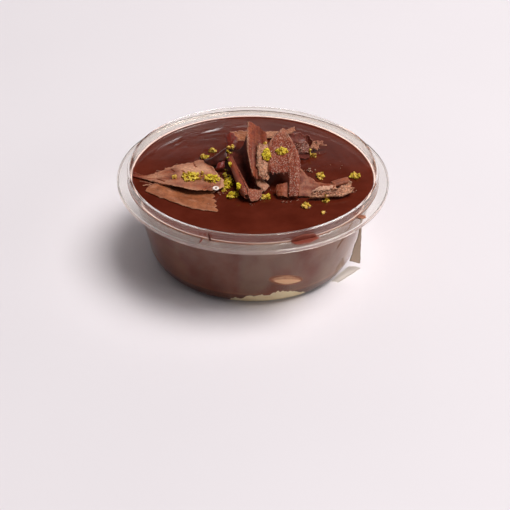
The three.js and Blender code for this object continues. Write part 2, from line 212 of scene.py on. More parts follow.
# %% Surround
# White walls stand round the table up to about 30 degrees above it, and the ceiling over them is dark.
# The walls light the cup's side and show in the clear rim, and the cream mirrors the dark ceiling. The
# side in front of the cup is dimmed, so that its front wall keeps its depth.
world = bpy.data.worlds.new("studio")
world.use_nodes = True
room = world.node_tree
direction = add(room, "SeparateXYZ", {0: add(room, "TexCoord").outputs["Generated"]})
walls = add(room, "ValToRGB", {"Fac": direction.outputs["Z"]}, stops=[
    (0.40, (0.92, 0.89, 0.90, 1)), (0.46, (0.24, 0.23, 0.23, 1)),
    (0.51, (0.02, 0.02, 0.02, 1)), (0.80, (0.08, 0.08, 0.08, 1))])
front_dimmed = add(room, "MapRange", {
    "Value": direction.outputs["Y"], "From Min": -0.3, "From Max": 0.3, "To Min": 0.24, "To Max": 1.0})
background = room.nodes["Background"]
room.links.new(walls.outputs[0], background.inputs["Color"])
room.links.new(front_dimmed.outputs[0], background.inputs["Strength"])
scene.world = world


# %% [markdown]
# ### Clear plastic
# The cup is PET sheet drawn over a mould: clear as glass, glossy, and faintly wavy where the sheet
# thinned. A Principled shader with full transmission gives the bent light at the rim. Lamps can't find
# their way through bent glass, so rays towards lamps see a plain transparent shader instead.

# %% Clear PET
# the scuffing is full as far back as the first depth from the middle, and fades out at the second
SCUFFED_FROM, SCUFFED_TO = -34.0, -8.0


def clear_plastic(name, tint, roughness, wave_mm, wave_height, clear, clear_front=None):
    """Clear sheet. clear is the share of light that passes through, and clear_front that share at the
    front, where filling and handling scuffed it."""
    material, tree, where = new_material(name)
    waves = add(tree, "TexNoise", {"Vector": where, "Scale": PER_MM / wave_mm, "Detail": 2.0})
    relief = add(tree, "Bump", {"Height": waves, "Distance": wave_height * MM, "Strength": 0.6})
    if clear_front:
        depth = add(tree, "SeparateXYZ", {0: where}).outputs["Y"]
        clear = add(tree, "MapRange", {
            "Value": depth, "From Min": SCUFFED_FROM * MM, "From Max": SCUFFED_TO * MM,
            "To Min": clear_front, "To Max": clear})
    plastic = add(tree, "BsdfPrincipled", {
        "Base Color": linear(tint), "Roughness": roughness, "IOR": 1.44, "Transmission Weight": clear,
        "Normal": relief})
    lamp_side = add(tree, "BsdfTransparent", {"Color": (0.95, 0.95, 0.95, 1)})
    to_a_lamp = add(tree, "LightPath").outputs["Is Shadow Ray"]
    both = add(tree, "MixShader", {0: to_a_lamp, 1: plastic, 2: lamp_side})
    add(tree, "OutputMaterial", {"Surface": both})
    return material


cup_plastic = clear_plastic("clear PET sheet", "#fbf8f1", 0.03, 9.0, 0.05, 1.0)
rim_plastic = clear_plastic("clear PET sheet at the rim", "#fffdf9", 0.0, 9.0, 0.02, 0.998, 0.955)
edge_plastic = clear_plastic("clear PET sheet, cut edge", "#fdeee6", 0.03, 9.0, 0.02, 0.97, 0.80)
film_plastic = clear_plastic("clear PET film", "#b39d88", 0.10, 4.0, 0.12, 0.55)
film_clear = clear_plastic("clear PET film, lying flat", "#c4bcb2", 0.50, 3.0, 0.15, 0.93)
film_scuffed = clear_plastic("clear PET film, scuffed", "#f2e9dc", 0.06, 4.0, 0.12, 0.84)


# %% [markdown]
# ### Chocolate cream
# A smooth cream of chocolate and milk that set level in the cup. Its top dried to a thin glossy skin with
# faint broad waves and a few pits, with a painted highlight round its edge. Against the wall it is flat and
# dull, with slightly paler clouds where it holds air, a painted sheen to the right and painted shade under
# the heel.
# The colour clouds are about a centimetre wide, and the pits half a millimetre.

# %% Glossy top of the cream
def chocolate_cream_material():
    material, tree, where = new_material("glossy chocolate cream")
    clouds = add(tree, "TexNoise", {"Vector": where, "Scale": PER_MM / 11, "Detail": 4.0, "Roughness": 0.6})
    tone = add(tree, "ValToRGB", {"Fac": clouds}, stops=[
        (0.35, linear("#4e190c")), (0.72, linear("#602416"))])
    # a painted highlight: a thin pale line where the top meets the wall, standing in for the light its small
    # curve catches
    flat = add(tree, "VectorMath", {0: where, 1: (1, 1, 0)}, operation="MULTIPLY")
    from_axis = add(tree, "VectorMath", {0: flat}, operation="LENGTH")
    shore = add(tree, "MapRange", {
        "Value": from_axis.outputs["Value"],
        "From Min": (FLANGE_R - 5.70) * MM, "From Max": (FLANGE_R - 5.45) * MM})
    painted_shore_highlight = add(tree, "Mix", {0: shore, 6: tone, 7: linear("#efd0c4")}, data_type="RGBA")
    pits = add(tree, "TexVoronoi", {"Vector": where, "Scale": PER_MM / 1.9}, feature="F1")
    pit = add(tree, "MapRange", {"Value": pits, "From Max": 0.22, "To Min": 1.0, "To Max": 0.0})
    grain = add(tree, "TexNoise", {"Vector": where, "Scale": PER_MM / 1.2, "Detail": 3.0})
    skin = add(tree, "Math", {0: pit, 1: -0.35, 2: grain}, operation="MULTIPLY_ADD")
    relief = add(tree, "Bump", {"Height": skin, "Distance": 0.02 * MM, "Strength": 0.5})
    gloss = add(tree, "MapRange", {"Value": clouds, "To Min": 0.04, "To Max": 0.10})
    cream = add(tree, "BsdfPrincipled", {
        "Base Color": painted_shore_highlight.outputs[2], "Roughness": gloss, "IOR": 1.42, "Normal": relief})
    add(tree, "OutputMaterial", {"Surface": cream})
    return material


glossy_cream = chocolate_cream_material()

# %% Dull side of the cream
# Pressed against the wall there is no air for a shine, so this part reflects nothing of its own.
def pressed_cream_material():
    material, tree, where = new_material("cream pressed to the wall")
    clouds = add(tree, "TexNoise", {"Vector": where, "Scale": PER_MM / 9, "Detail": 3.0, "Roughness": 0.5})
    specks = add(tree, "TexNoise", {"Vector": where, "Scale": PER_MM / 0.8, "Detail": 2.0})
    mixed = add(tree, "Math", {0: specks, 1: 0.35, 2: clouds}, operation="MULTIPLY_ADD")
    tone = add(tree, "ValToRGB", {"Fac": mixed}, stops=[
        (0.50, linear("#80432f")), (0.85, linear("#98614c"))])
    # where the cream has let go of the wall a little it looks paler and greyer in patches, and a painted
    # sheen makes it paler and greyer towards the right
    drawn_up = add(tree, "VectorMath", {0: where, 1: (1, 1, 0.35)}, operation="MULTIPLY")
    patches = add(tree, "TexNoise", {"Vector": drawn_up, "Scale": PER_MM / 12, "Detail": 2.0})
    sideways = add(tree, "SeparateXYZ", {0: where})
    painted_sheen_rightwards = add(tree, "MapRange", {
        "Value": sideways.outputs["X"], "From Min": -20 * MM, "From Max": 42 * MM,
        "To Min": -0.20, "To Max": 0.14})
    loose = add(tree, "MapRange", {
        "Value": patches, "From Min": 0.40, "From Max": 0.68, "To Min": -0.04, "To Max": 0.40})
    let_go_and_painted_sheen = add(tree, "Math", {0: loose, 1: painted_sheen_rightwards}, operation="ADD", use_clamp=True)
    clouded_and_sheened = add(tree, "Mix", {0: let_go_and_painted_sheen, 6: tone, 7: linear("#ac9a86")}, data_type="RGBA")
    # painted shade: under the heel, where it faces the table, it is darker, and a painted highlight makes a
    # paler line along the rib
    level = add(tree, "MapRange", {"Value": sideways.outputs["Z"], "From Max": 10 * MM})
    heel_shade_and_rib_highlight = add(tree, "ValToRGB", {"Fac": level}, stops=[
        (0.35, (0.62, 0.60, 0.60, 1)), (0.51, (0.70, 0.68, 0.68, 1)),
        (0.56, (1.25, 1.22, 1.22, 1)), (0.66, (1, 1, 1, 1))])
    shaded = add(tree, "VectorMath", {0: clouded_and_sheened.outputs[2], 1: heel_shade_and_rib_highlight}, operation="MULTIPLY")
    cream = add(tree, "BsdfPrincipled", {
        "Base Color": shaded, "Roughness": 0.9, "IOR": 1.42, "Specular IOR Level": 0.0})
    add(tree, "OutputMaterial", {"Surface": cream})
    return material


pressed_cream = pressed_cream_material()


# %% [markdown]
# ### Chocolate shavings
# Shavings are scraped off a block of chocolate, which leaves one face smooth with fine drawn lines and
# the other torn and full of tiny bubbles, dotted with painted glints. Where the chocolate is bruised it
# looks paler and pinkish. One function makes the milk, the dark and the pale kind, and a darker copy that
# paints shade on pieces in shadow. Each vertex carries three painted numbers: "pale" for bruised places and
# edges, and for painted highlights on some pieces, "pitted" for torn ones, and "ruddy" for those that catch
# the light warmly.

# %% Chocolate shavings
PAINTED = ("pale", "pitted", "ruddy")


def shaving_material(name, deep, body, bruised, gloss, shine=0.28):
    material, tree, where = new_material(name)
    pale, pitted, ruddy = (add(tree, "Attribute", attribute_name=mark).outputs["Fac"] for mark in PAINTED)
    clouds = add(tree, "TexNoise", {"Vector": where, "Scale": PER_MM / 4, "Detail": 6.0, "Roughness": 0.68})
    tone = add(tree, "MapRange", {"Value": clouds, "From Min": 0.36, "From Max": 0.66})
    ground = add(tree, "Mix", {0: tone, 6: linear(deep), 7: linear(body)}, data_type="RGBA")
    bruise = add(tree, "Mix", {0: pale, 6: ground.outputs[2], 7: linear(bruised)}, data_type="RGBA")
    grit = add(tree, "TexNoise", {"Vector": where, "Scale": PER_MM / 0.7, "Detail": 4.0, "Roughness": 0.85})
    uneven = add(tree, "MapRange", {
        "Value": grit, "From Min": 0.38, "From Max": 0.62, "To Min": -0.65, "To Max": 0.60})
    coarse = add(tree, "MapRange", {"Value": pitted, "To Min": 0.42, "To Max": 1.0})
    dust = add(tree, "Math", {0: uneven, 1: coarse, 2: 1.0}, operation="MULTIPLY_ADD")
    grained = add(tree, "VectorMath", {0: bruise.outputs[2], 1: dust}, operation="MULTIPLY")
    blush = add(tree, "Mix", {0: ruddy, 6: grained, 7: linear("#7c2a20")}, data_type="RGBA")
    # painted highlights: pale glints on the tiny bubbles of the torn face, about a quarter of a millimetre
    # across
    cells = add(tree, "TexVoronoi", {"Vector": where, "Scale": PER_MM / 0.34})
    dot = add(tree, "MapRange", {
        "Value": cells, "From Min": 0.2, "From Max": 0.42, "To Min": 1.0, "To Max": 0.0})
    rare = add(tree, "Math", {0: pitted, 1: -0.45, 2: 1.0}, operation="MULTIPLY_ADD")
    chance = add(tree, "Math", {0: cells.outputs["Color"], 1: rare}, operation="GREATER_THAN")
    some = add(tree, "Math", {0: dot, 1: chance}, operation="MULTIPLY")
    painted_glint = add(tree, "Math", {0: some, 1: pitted}, operation="MULTIPLY")
    with_painted_glints = add(tree, "Mix", {0: painted_glint, 6: blush.outputs[2], 7: linear("#e6c4ae")}, data_type="RGBA")
    grain = add(tree, "TexNoise", {"Vector": where, "Scale": PER_MM / 0.45, "Detail": 3.0})
    bubbles = add(tree, "Math", {0: cells, 1: pitted}, operation="MULTIPLY")
    rough = add(tree, "Math", {0: bubbles, 1: -1.2, 2: grain}, operation="MULTIPLY_ADD")
    relief = add(tree, "Bump", {"Height": rough, "Distance": 0.10 * MM, "Strength": 0.8})
    chocolate = add(tree, "BsdfPrincipled", {
        "Base Color": with_painted_glints.outputs[2], "Roughness": gloss, "IOR": 1.45,
        "Specular IOR Level": shine, "Normal": relief})
    add(tree, "OutputMaterial", {"Surface": chocolate})
    return material


milk_chocolate = shaving_material("scraped milk chocolate", "#662a18", "#954a2a", "#c08a6c", 0.52, 0.20)
dark_chocolate = shaving_material("scraped dark chocolate", "#36120d", "#5a261b", "#a56a52", 0.36)
# a darker, duller copy of the dark chocolate: painted shade for pieces that lie in shadow
painted_shade_chocolate = shaving_material("shaded dark chocolate", "#481b13", "#703026", "#7a483a", 0.6, 0.08)
pale_chocolate = shaving_material("bruised milk chocolate", "#834729", "#a5633f", "#cc9a80", 0.55)


# %% [markdown]
# ### Pale cream, choux and pistachio
# The pale cream is a set vanilla custard, matt and even. The bun is choux pastry: a thin browned skin that
# the chocolate has soaked, with its bright crumb showing where it presses on the wall. The pistachios are
# chopped, so each crumb has yellow-green flesh, paler cut faces and bits of brown skin.

# %% Custard
def custard_material(name, shaded, bright):
    material, tree, where = new_material(name)
    clouds = add(tree, "TexNoise", {"Vector": where, "Scale": PER_MM / 3, "Detail": 4.0})
    tone = add(tree, "ValToRGB", {"Fac": clouds}, stops=[(0, linear(shaded)), (1, linear(bright))])
    relief = add(tree, "Bump", {"Height": clouds, "Distance": 0.1 * MM})
    custard = add(tree, "BsdfPrincipled", {
        "Base Color": tone, "Roughness": 0.45, "IOR": 1.45, "Normal": relief})
    add(tree, "OutputMaterial", {"Surface": custard})
    return material


custard = custard_material("vanilla custard", "#f8dca8", "#fff6d8")
whipped_cream = custard_material("whipped cream", "#ecd6cc", "#fff4ee")


# %% Choux pastry
def choux_material():
    material, tree, where = new_material("choux pastry")
    pale = add(tree, "Attribute", attribute_name="pale").outputs["Fac"]
    crumb = add(tree, "TexNoise", {"Vector": where, "Scale": PER_MM / 0.8, "Detail": 4.0})
    shade = add(tree, "Math", {0: crumb, 1: 0.25, 2: pale}, operation="MULTIPLY_ADD")
    tone = add(tree, "ValToRGB", {"Fac": shade}, stops=[
        (0.22, linear("#7a4836")), (0.55, linear("#b8622e")), (0.85, linear("#ffcf9c"))])
    relief = add(tree, "Bump", {"Height": crumb, "Distance": 0.2 * MM})
    pastry = add(tree, "BsdfPrincipled", {
        "Base Color": tone, "Roughness": 0.6, "IOR": 1.45, "Normal": relief})
    add(tree, "OutputMaterial", {"Surface": pastry})
    return material


choux = choux_material()


# %% Chopped pistachio
CHUNK_MM = 0.5


def crumb_material(name, colours, dry_colours):
    """Broken crumbs. Three colours run from the shaded to the bright parts, and each crumb's own tone
    moves it towards the drier three."""
    material, tree, where = new_material(name)
    tone = add(tree, "Attribute", attribute_name="tone").outputs["Fac"]
    chunks = add(tree, "TexNoise", {
        "Vector": where, "Scale": PER_MM / CHUNK_MM, "Detail": 3.0, "Roughness": 0.7})
    fresh, dry = (
        add(tree, "ValToRGB", {"Fac": chunks}, stops=zip((0.36, 0.50, 0.64), map(linear, three)))
        for three in (colours, dry_colours))
    colour = add(tree, "Mix", {0: tone, 6: fresh, 7: dry}, data_type="RGBA")
    relief = add(tree, "Bump", {"Height": chunks, "Distance": 0.2 * MM})
    crumb = add(tree, "BsdfPrincipled", {
        "Base Color": colour.outputs[2], "Roughness": 0.5, "IOR": 1.45, "Specular IOR Level": 0.3,
        "Normal": relief})
    add(tree, "OutputMaterial", {"Surface": crumb})
    return material


pistachio = crumb_material("chopped pistachio", ("#6e5400", "#cdb608", "#f8e636"),
                           ("#96641c", "#dcac3c", "#fae08c"))
crumb_chocolate = crumb_material("chocolate dust", ("#3a140c", "#6b3020", "#9c6048"),
                                 ("#7a4630", "#b98468", "#e2c2ae"))

# %% [markdown]
# ## The floor
# A plain pale table top, a little uneven in tone so that it isn't one flat colour.

# %% Floor
FLOOR_HALF = 3000.0
bm = bmesh.new()
bmesh.ops.create_grid(bm, x_segments=1, y_segments=1, size=FLOOR_HALF * MM)
floor_mesh = bpy.data.meshes.new("floor")
bm.to_mesh(floor_mesh)
bm.free()
floor = bpy.data.objects.new("floor", floor_mesh)
scene.collection.objects.link(floor)
floor_material, tree, where = new_material("painted table top")
tint = add(tree, "TexNoise", {"Vector": where, "Scale": PER_MM / 120, "Detail": 2.0})
tone = add(tree, "ValToRGB", {"Fac": tint}, stops=[(0, linear("#e2dce0")), (1, linear("#e7e1e5"))])
paint = add(tree, "BsdfPrincipled", {"Base Color": tone, "Roughness": 0.7, "IOR": 1.4})
add(tree, "OutputMaterial", {"Surface": paint})
floor_mesh.materials.append(floor_material)

# %% [markdown]
# ## Finishing a piece
# Every piece goes through the same last steps: millimetres become metres, the faces are shaded smoothly,
# and the piece gets its material and the imported body it rides on. A list of the finished tops
# is kept, so that crumbs can be dropped onto whatever lies under them.

# %% Finish a piece
carriers = []
ABOVE_ALL_Z = 80.0


def finish_piece(bm, name, material, slot, replaces=(), carries=False, smooth=True):
    if carries:
        carriers.append(BVHTree.FromBMesh(bm))
    bmesh.ops.scale(bm, vec=(MM, MM, MM), verts=bm.verts)
    for face in bm.faces:
        face.smooth = smooth
    mesh = bpy.data.meshes.new(name)
    bm.to_mesh(mesh)
    bm.free()
    mesh.materials.append(material)
    piece = bpy.data.objects.new(name, mesh)
    scene.collection.objects.link(piece)
    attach(piece, "root")
    if replaces:
        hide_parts(*replaces)
    triangles = sum(len(face.vertices) - 2 for face in mesh.polygons)
    print(f"{name}: {triangles} triangles")
    return piece


def top_under(x, y):
    """The height in millimetres of the highest finished surface at a place seen from above."""
    above = Vector((x, y, ABOVE_ALL_Z))
    hits = [carrier.ray_cast(above, Vector((0, 0, -1)))[0] for carrier in carriers]
    return max(hit.z for hit in hits if hit is not None)


# %% [markdown]
# ## The cup
# The cup is one drawn sheet: a flat base, a rounded heel, a leaning wall, a flat rim with a turned-down
# edge, and a raised lip. It could be shelled from a solid, but a closed outline turned about the axis
# keeps the wall's thickness exact. The corners are rounded with a bevel on the outline's points first.

# %% Cup sizes
BASE_R = 33.7
BASE_T = 0.7
HEEL_R = 37.8
HEEL_Z = 4.8
HEEL_STEPS = 12
WALL_T = 0.5
WALL_TOP_R = 45.75
FLANGE_T = 0.6
SKIRT_H = 1.5
LIP_R = 46.6
LIP_T = 1.05


def wall_radius(z):
    """Outside radius of the leaning wall, carried on down to the table."""
    return lerp(HEEL_R, WALL_TOP_R, z / FLANGE_Z)


def shell_radius(z, inset, base_z):
    """Radius of a surface that lies `inset` inside the cup's outside, rounded at the heel."""
    if z >= HEEL_Z:
        return wall_radius(z) - inset
    t = math.sqrt(max(0.0, (z - base_z) / (HEEL_Z - base_z)))
    return (1 - t) ** 2 * BASE_R + 2 * (1 - t) * t * HEEL_R + t * t * wall_radius(HEEL_Z) - inset


def heel(inset, base_z):
    """The rounded heel as (radius, height) points, from the base up to the wall."""
    heights = [base_z + (HEEL_Z - base_z) * (i / HEEL_STEPS) ** 2 for i in range(HEEL_STEPS + 1)]
    return [(shell_radius(z, inset, base_z), z) for z in heights]


# %% Turn an outline about the axis
TURN_STEPS = 160
CORNER_R = 0.28


def turned(profile, rounded=()):
    """A bmesh turned from (radius, height) points that start and end on the axis. rounded lists the
    numbers of the points that become rounded corners."""
    bm = bmesh.new()
    points = [bm.verts.new((r, 0, z)) for r, z in profile]
    for pair in zip(points, points[1:]):
        bm.edges.new(pair)
    corners = [points[i] for i in rounded]
    if corners:
        bmesh.ops.bevel(bm, geom=corners, offset=CORNER_R, segments=4, profile=0.5,
                        affect="VERTICES", material=-1)
    bmesh.ops.spin(bm, geom=bm.verts[:] + bm.edges[:], cent=(0, 0, 0), axis=(0, 0, 1),
                   angle=2 * math.pi, steps=TURN_STEPS, use_merge=True)
    bmesh.ops.remove_doubles(bm, verts=bm.verts, dist=1e-4)
    bmesh.ops.recalc_face_normals(bm, faces=bm.faces)
    return bm


# %% Cup
underside = FLANGE_Z - FLANGE_T
lip_in = LIP_R - LIP_T
MID_WALL_Z = 18.0
RIB_Z, RIB_H, RIB_SPAN = 5.5, 0.22, 0.6
outside = [
    (0, 0),
    *heel(0, 0),
    (wall_radius(RIB_Z) + RIB_H, RIB_Z),
    (wall_radius(RIB_Z + RIB_SPAN), RIB_Z + RIB_SPAN),
    (wall_radius(MID_WALL_Z), MID_WALL_Z),
]
rim = [
    (wall_radius(underside), underside),
    (FLANGE_R - FLANGE_T, underside),
    (FLANGE_R - FLANGE_T, FLANGE_Z - SKIRT_H),
    (FLANGE_R, FLANGE_Z - SKIRT_H),
    (FLANGE_R, FLANGE_Z),
    (LIP_R, FLANGE_Z),
    (LIP_R, LIP_TOP_Z),
    (lip_in, LIP_TOP_Z),
    (wall_radius(FLANGE_Z) - WALL_T, FLANGE_Z),
]
inside = [(wall_radius(MID_WALL_Z) - WALL_T, MID_WALL_Z), *reversed(heel(WALL_T, BASE_T)), (0, BASE_T)]
first = len(outside)
bm = turned(outside + rim + inside, rounded=range(first, first + len(rim)))
cup = finish_piece(bm, "clear_cup", cup_plastic, "clear_plastic", ["cup"])
cup.data.materials.append(rim_plastic)
cup.data.materials.append(edge_plastic)
CUT_EDGE_T = 0.25
for face in cup.data.polygons:
    out, up = face.center.xy.length / MM, face.center.z / MM
    if up > underside - SKIRT_H and out > lip_in:
        face.material_index = 2 if out > FLANGE_R - CUT_EDGE_T else 1
flatten = cup.modifiers.new("even shading", "WEIGHTED_NORMAL")
flatten.keep_sharp = True

# %% [markdown]
# ## What fills the cup
# The chocolate cream wets the plastic, so its outside reaches a tenth of a millimetre into the wall and
# no bright air gap shows. Its top is flat but not a mirror: it swells very slightly, keeps faint rings
# from drawing level, and climbs the wall in a small curve.

# %% Chocolate cream
INTO_WALL = 0.12
MENISCUS_H, MENISCUS_W = 0.35, 0.45
TOP_RINGS = 150
TOP_SINK = 0.12
BROAD_WAVE, BROAD_H = 17, 0.045
FINE_WAVE, FINE_H = 5, 0.008
RINGS_H = 0.012
inset = WALL_T - INTO_WALL
bottom = BASE_T - INTO_WALL
side = [(0, bottom), *heel(inset, bottom)]
side += [(shell_radius(z, inset, bottom), z) for z in (9, 14, 19, 24, 28, 31, CREAM_Z)]
top_r = shell_radius(CREAM_Z, inset, bottom)
top = [(top_r * (1 - i / TOP_RINGS), CREAM_Z + MENISCUS_H * math.exp(-i * top_r / TOP_RINGS / MENISCUS_W))
       for i in range(TOP_RINGS + 1)]


def cream_swell(spot):
    """How far the top rises or falls at a place seen from above, fading out at the wall."""
    swell = noise.noise(spot / BROAD_WAVE) * BROAD_H
    swell += noise.noise(spot / FINE_WAVE + Vector((7, 3, 1))) * FINE_H
    # faint rings near the wall, as the cream drew level from there inwards
    patchy = max(0.0, noise.noise(spot / 9 + Vector((2, 9, 4))) + 0.15)
    rings = RINGS_H * patchy * math.sin(spot.length * 1.6 + 9 * noise.noise(spot / 16))
    swell += rings * ease(spot.length, 26, 38)
    return (1 - math.exp(-(top_r - spot.length) / 1.5)) * swell


bm = turned(side + top)
for vert in bm.verts:
    if vert.co.z > CREAM_Z - 0.01:
        vert.co.z += cream_swell(Vector((vert.co.x, vert.co.y, 0))) - TOP_SINK
cream = finish_piece(bm, "chocolate_cream_fill", glossy_cream, "chocolate_cream",
                     ["chocolate_cream"], carries=True)
cream.data.materials.append(pressed_cream)
for face in cream.data.polygons:
    if face.normal.z < 0.3:
        face.material_index = 1


# %% [markdown]
# ## Sheets that bend
# Flakes, curls, the bun's patch on the wall and the loose film are all thin sheets. A flat slab is made
# from a grid and its extrusion, and each of its points is then sent to a place on a middle surface, half
# the thickness up or down. A little noise near the border tears the outline, and noise across the sheet
# gives blisters. This is quicker to steer than sculpting, and the two faces always stay closed.

# %% Make a sheet
def away_from(spot, ends):
    """Distance in plan from a point to the straight line between two (x, y) ends."""
    a, b = Vector(ends[0]), Vector(ends[1])
    t = (spot - a).dot(b - a) / (b - a).length_squared
    return (spot - a.lerp(b, clamp(t))).length


def sheet(middle, thick=0.45, cell=0.3, torn=0.45, blister=0.05, paint=(0.0, 0.0, 0.0), thin_edge=0.45,
          seed=0, cracks=()):
    """A bent closed slab in millimetres about middle(u, v), with u and v from 0 to 1.

    torn is how far the outline wanders, blister how high the torn face swells, and cracks are lines in
    plan that split the top. paint is (pale, pitted, ruddy), or a function of u and v that gives them."""
    along = (middle(0.5, 1) - middle(0.5, 0)).length
    stops = [middle(i / 8, 0.5) for i in range(9)]
    across = sum((b - a).length for a, b in zip(stops, stops[1:]))
    bm = bmesh.new()
    cells_across, cells_along = (max(6, round(length / cell)) for length in (across, along))
    bmesh.ops.create_grid(bm, x_segments=cells_across, y_segments=cells_along, size=0.5, calc_uvs=True)
    made = bmesh.ops.extrude_face_region(bm, geom=bm.faces[:], use_keep_orig=True)["geom"]
    bmesh.ops.translate(bm, vec=(0, 0, 1), verts=[g for g in made if isinstance(g, bmesh.types.BMVert)])
    bmesh.ops.recalc_face_normals(bm, faces=bm.faces)
    layers = [bm.verts.layers.float.new(mark) for mark in PAINTED]
    shift = Vector((seed * 13.7, seed * 5.1, seed * 2.3))
    worked_out = {}

    def place(u, v):
        """Where a point of the middle surface goes, the way out of it, its swelling, split and paint."""
        p = middle(u, v)
        du = middle(u + 1e-3, v) - p if u < 0.5 else p - middle(u - 1e-3, v)
        dv = middle(u, v + 1e-3) - p if v < 0.5 else p - middle(u, v - 1e-3)
        normal = du.cross(dv).normalized()
        from_edge = min(min(u, 1 - u) * across, min(v, 1 - v) * along)
        pale, pitted, ruddy = paint(u, v) if callable(paint) else paint
        swell = noise.noise(p * 0.8 + shift) * 0.6 + noise.noise(p * 2.1 + shift) * 0.4
        swell += pitted * abs(noise.noise(p * 3.4 + shift)) * 1.2
        split = 0.0
        for ends in cracks:
            wander = 0.35 * noise.noise(p * 1.3 + shift)
            split = max(split, 1 - ease(away_from(p.xy, ends) + wander, 0.05, 0.4))
        border = 1 - ease(from_edge, 0, 2.0)
        if border > 0:
            tear = (noise.noise_vector(p * 0.4 + shift) + noise.noise_vector(p * 1.1 + shift) * 0.55
                    + noise.noise_vector(p * 2.6 + shift) * 0.35)
            p = p + (tear - normal * tear.dot(normal)) * torn * border
        # paler near the border; along the cracks the paleness is taken away, which paints shade into them
        pale += 0.4 * (1 - ease(from_edge, 0, 0.4)) - split
        marks = [clamp(amount) for amount in (pale, pitted, ruddy)]
        rounded = lerp(thin_edge, 1, ease(from_edge, 0, 0.5))
        return p, normal, blister * (1 + 1.5 * pitted) * swell, split, rounded, marks

    for vert in bm.verts:
        u, v = vert.co.x + 0.5, vert.co.y + 0.5
        spot = round(u, 5), round(v, 5)
        if spot not in worked_out:
            worked_out[spot] = place(u, v)
        p, normal, lump, split, rounded, marks = worked_out[spot]
        side = thick / 2 * rounded
        offset = side + lump - 1.2 * thick * split if vert.co.z > 0.5 else lump * 0.6 - side
        vert.co = p + normal * offset
        for layer, amount in zip(layers, marks):
            vert[layer] = amount
    return bm


# %% A shaving between two edge lines
def rail(points):
    """A smooth line in space through a few points, for t from 0 to 1."""
    x, y, z = (through(*values) for values in zip(*points))
    return lambda t: Vector((x(t), y(t), z(t)))


def leaf(left, right, hollow=0.0, left_roll=(1.0, 0.0), right_roll=(1.0, 0.0), near=None, far=None):
    """The middle surface between two edge lines, given as points that run the same way. hollow is how far
    it bends in from the face. Each roll is (radius, degrees), or (radius, degrees near, degrees far) for
    one that tightens, with a radius below zero for a roll away from the face. near(u) and far(u) push out
    the two ends."""
    left, right = rail(left), rail(right)

    def middle(u, v):
        p, q = left(v), right(v)
        across = q - p
        ahead = (left(v + 0.02) + right(v + 0.02) - left(v - 0.02) - right(v - 0.02)).normalized()
        out = across.cross(ahead).normalized()
        side = across.normalized()
        slope = 4 * hollow / across.length
        left_r, right_r = left_roll[0], right_roll[0]
        left_turn = math.radians(lerp(left_roll[1], left_roll[-1], v))
        right_turn = math.radians(lerp(right_roll[1], right_roll[-1], v))
        left_arc, right_arc = abs(left_r * left_turn), abs(right_r * right_turn)
        run = u * (across.length + left_arc + right_arc)
        if run < left_arc:
            angle = (left_arc - run) / left_r
            normal, outward = (out + side * slope).normalized(), (out * slope - side).normalized()
            place = p + normal * left_r * (1 - math.cos(angle)) + outward * left_r * math.sin(angle)
        elif run > left_arc + across.length and right_arc:
            angle = (run - left_arc - across.length) / right_r
            normal, outward = (out - side * slope).normalized(), (out * slope + side).normalized()
            place = q + normal * right_r * (1 - math.cos(angle)) + outward * right_r * math.sin(angle)
        else:
            t = (run - left_arc) / across.length
            place = p + across * t - out * hollow * 4 * t * (1 - t)
        far_push = far(u) * ease(v, 0.55, 1.0) if far else 0.0
        near_push = near(u) * (1 - ease(v, 0.0, 0.45)) if near else 0.0
        return place + ahead * (far_push - near_push)
    return middle


def scallops(t, count, depth):
    return depth * abs(math.sin(math.pi * count * t))


def mottle(u, v, strength=0.4, scale=7.0):
    """A paint amount that drifts over a shaving."""
    return strength * noise.noise(Vector((u * scale, v * scale, 0.7)))


def drawn(u, v, strength, count):
    """Lines that the scraper drew along a shaving, as a paint amount or a height."""
    return strength * noise.noise(Vector((u * count, v * 1.6, 4.2)))


# %% Cut a shaving
ON_CREAM_Z = CREAM_Z + 0.12
KINDS = {
    "milk": (milk_chocolate, "chocolate_shaving"),
    # a pale flake drawn in the darker milk chocolate: painted shade where it lies under the arch
    "pale in painted shade": (milk_chocolate, "pale_shaving"),
    "pale": (pale_chocolate, "pale_shaving"),
    "dark": (dark_chocolate, "dark_shaving"),
    # deep is the darker copy of the dark chocolate: painted shade
    "deep": (painted_shade_chocolate, "dark_shaving"),
}


def shave(name, kind, middle, node=None, **cut):
    """One finished shaving. kind gives its chocolate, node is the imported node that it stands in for, and
    cut holds the settings of its sheet."""
    return finish_piece(sheet(middle, **cut), name + "_shaving", *KINDS[kind], [node] if node else [],
                        carries=True)


# %% [markdown]
# ## Custard and bun at the wall
# Both show only as patches pressed flat against the plastic, so each is a sheet that follows the wall. The
# custard has a ragged top where it was spooned, and the bun is a bright oval in a browner halo.

# %% Custard at the wall
PATCH_T, PATCH_INTO_WALL = 1.2, 0.2
PATCH_INSET = WALL_T - PATCH_INTO_WALL + PATCH_T / 2
CUSTARD_TURN = (-12.0, 31.5)
CUSTARD_LOW_Z, CUSTARD_H = 0.62, 5.2


def custard_middle(u, v):
    turn = math.radians(lerp(*CUSTARD_TURN, u))
    height = CUSTARD_H * bump(0.02 + 0.93 * u) ** 0.5
    height += 1.4 * noise.noise(Vector((u * 9, 0.4, 0))) + 0.9 * noise.noise(Vector((u * 31, 1, 0)))
    z = CUSTARD_LOW_Z + max(0.05, height) * v
    return Vector(on_circle(turn, shell_radius(z, PATCH_INSET, BASE_T - PATCH_INTO_WALL), z))


bm = sheet(custard_middle, thick=PATCH_T, cell=0.35, torn=0.0, blister=0.0, thin_edge=0.8)
finish_piece(bm, "custard_at_wall", custard, "pale_cream", ["pale_cream"])

# %% Bun at the wall
BUN_TURN, BUN_Z = 17.8, 12.1
BUN_HALF = (6.6, 2.7)
BUN_TILT = -0.26


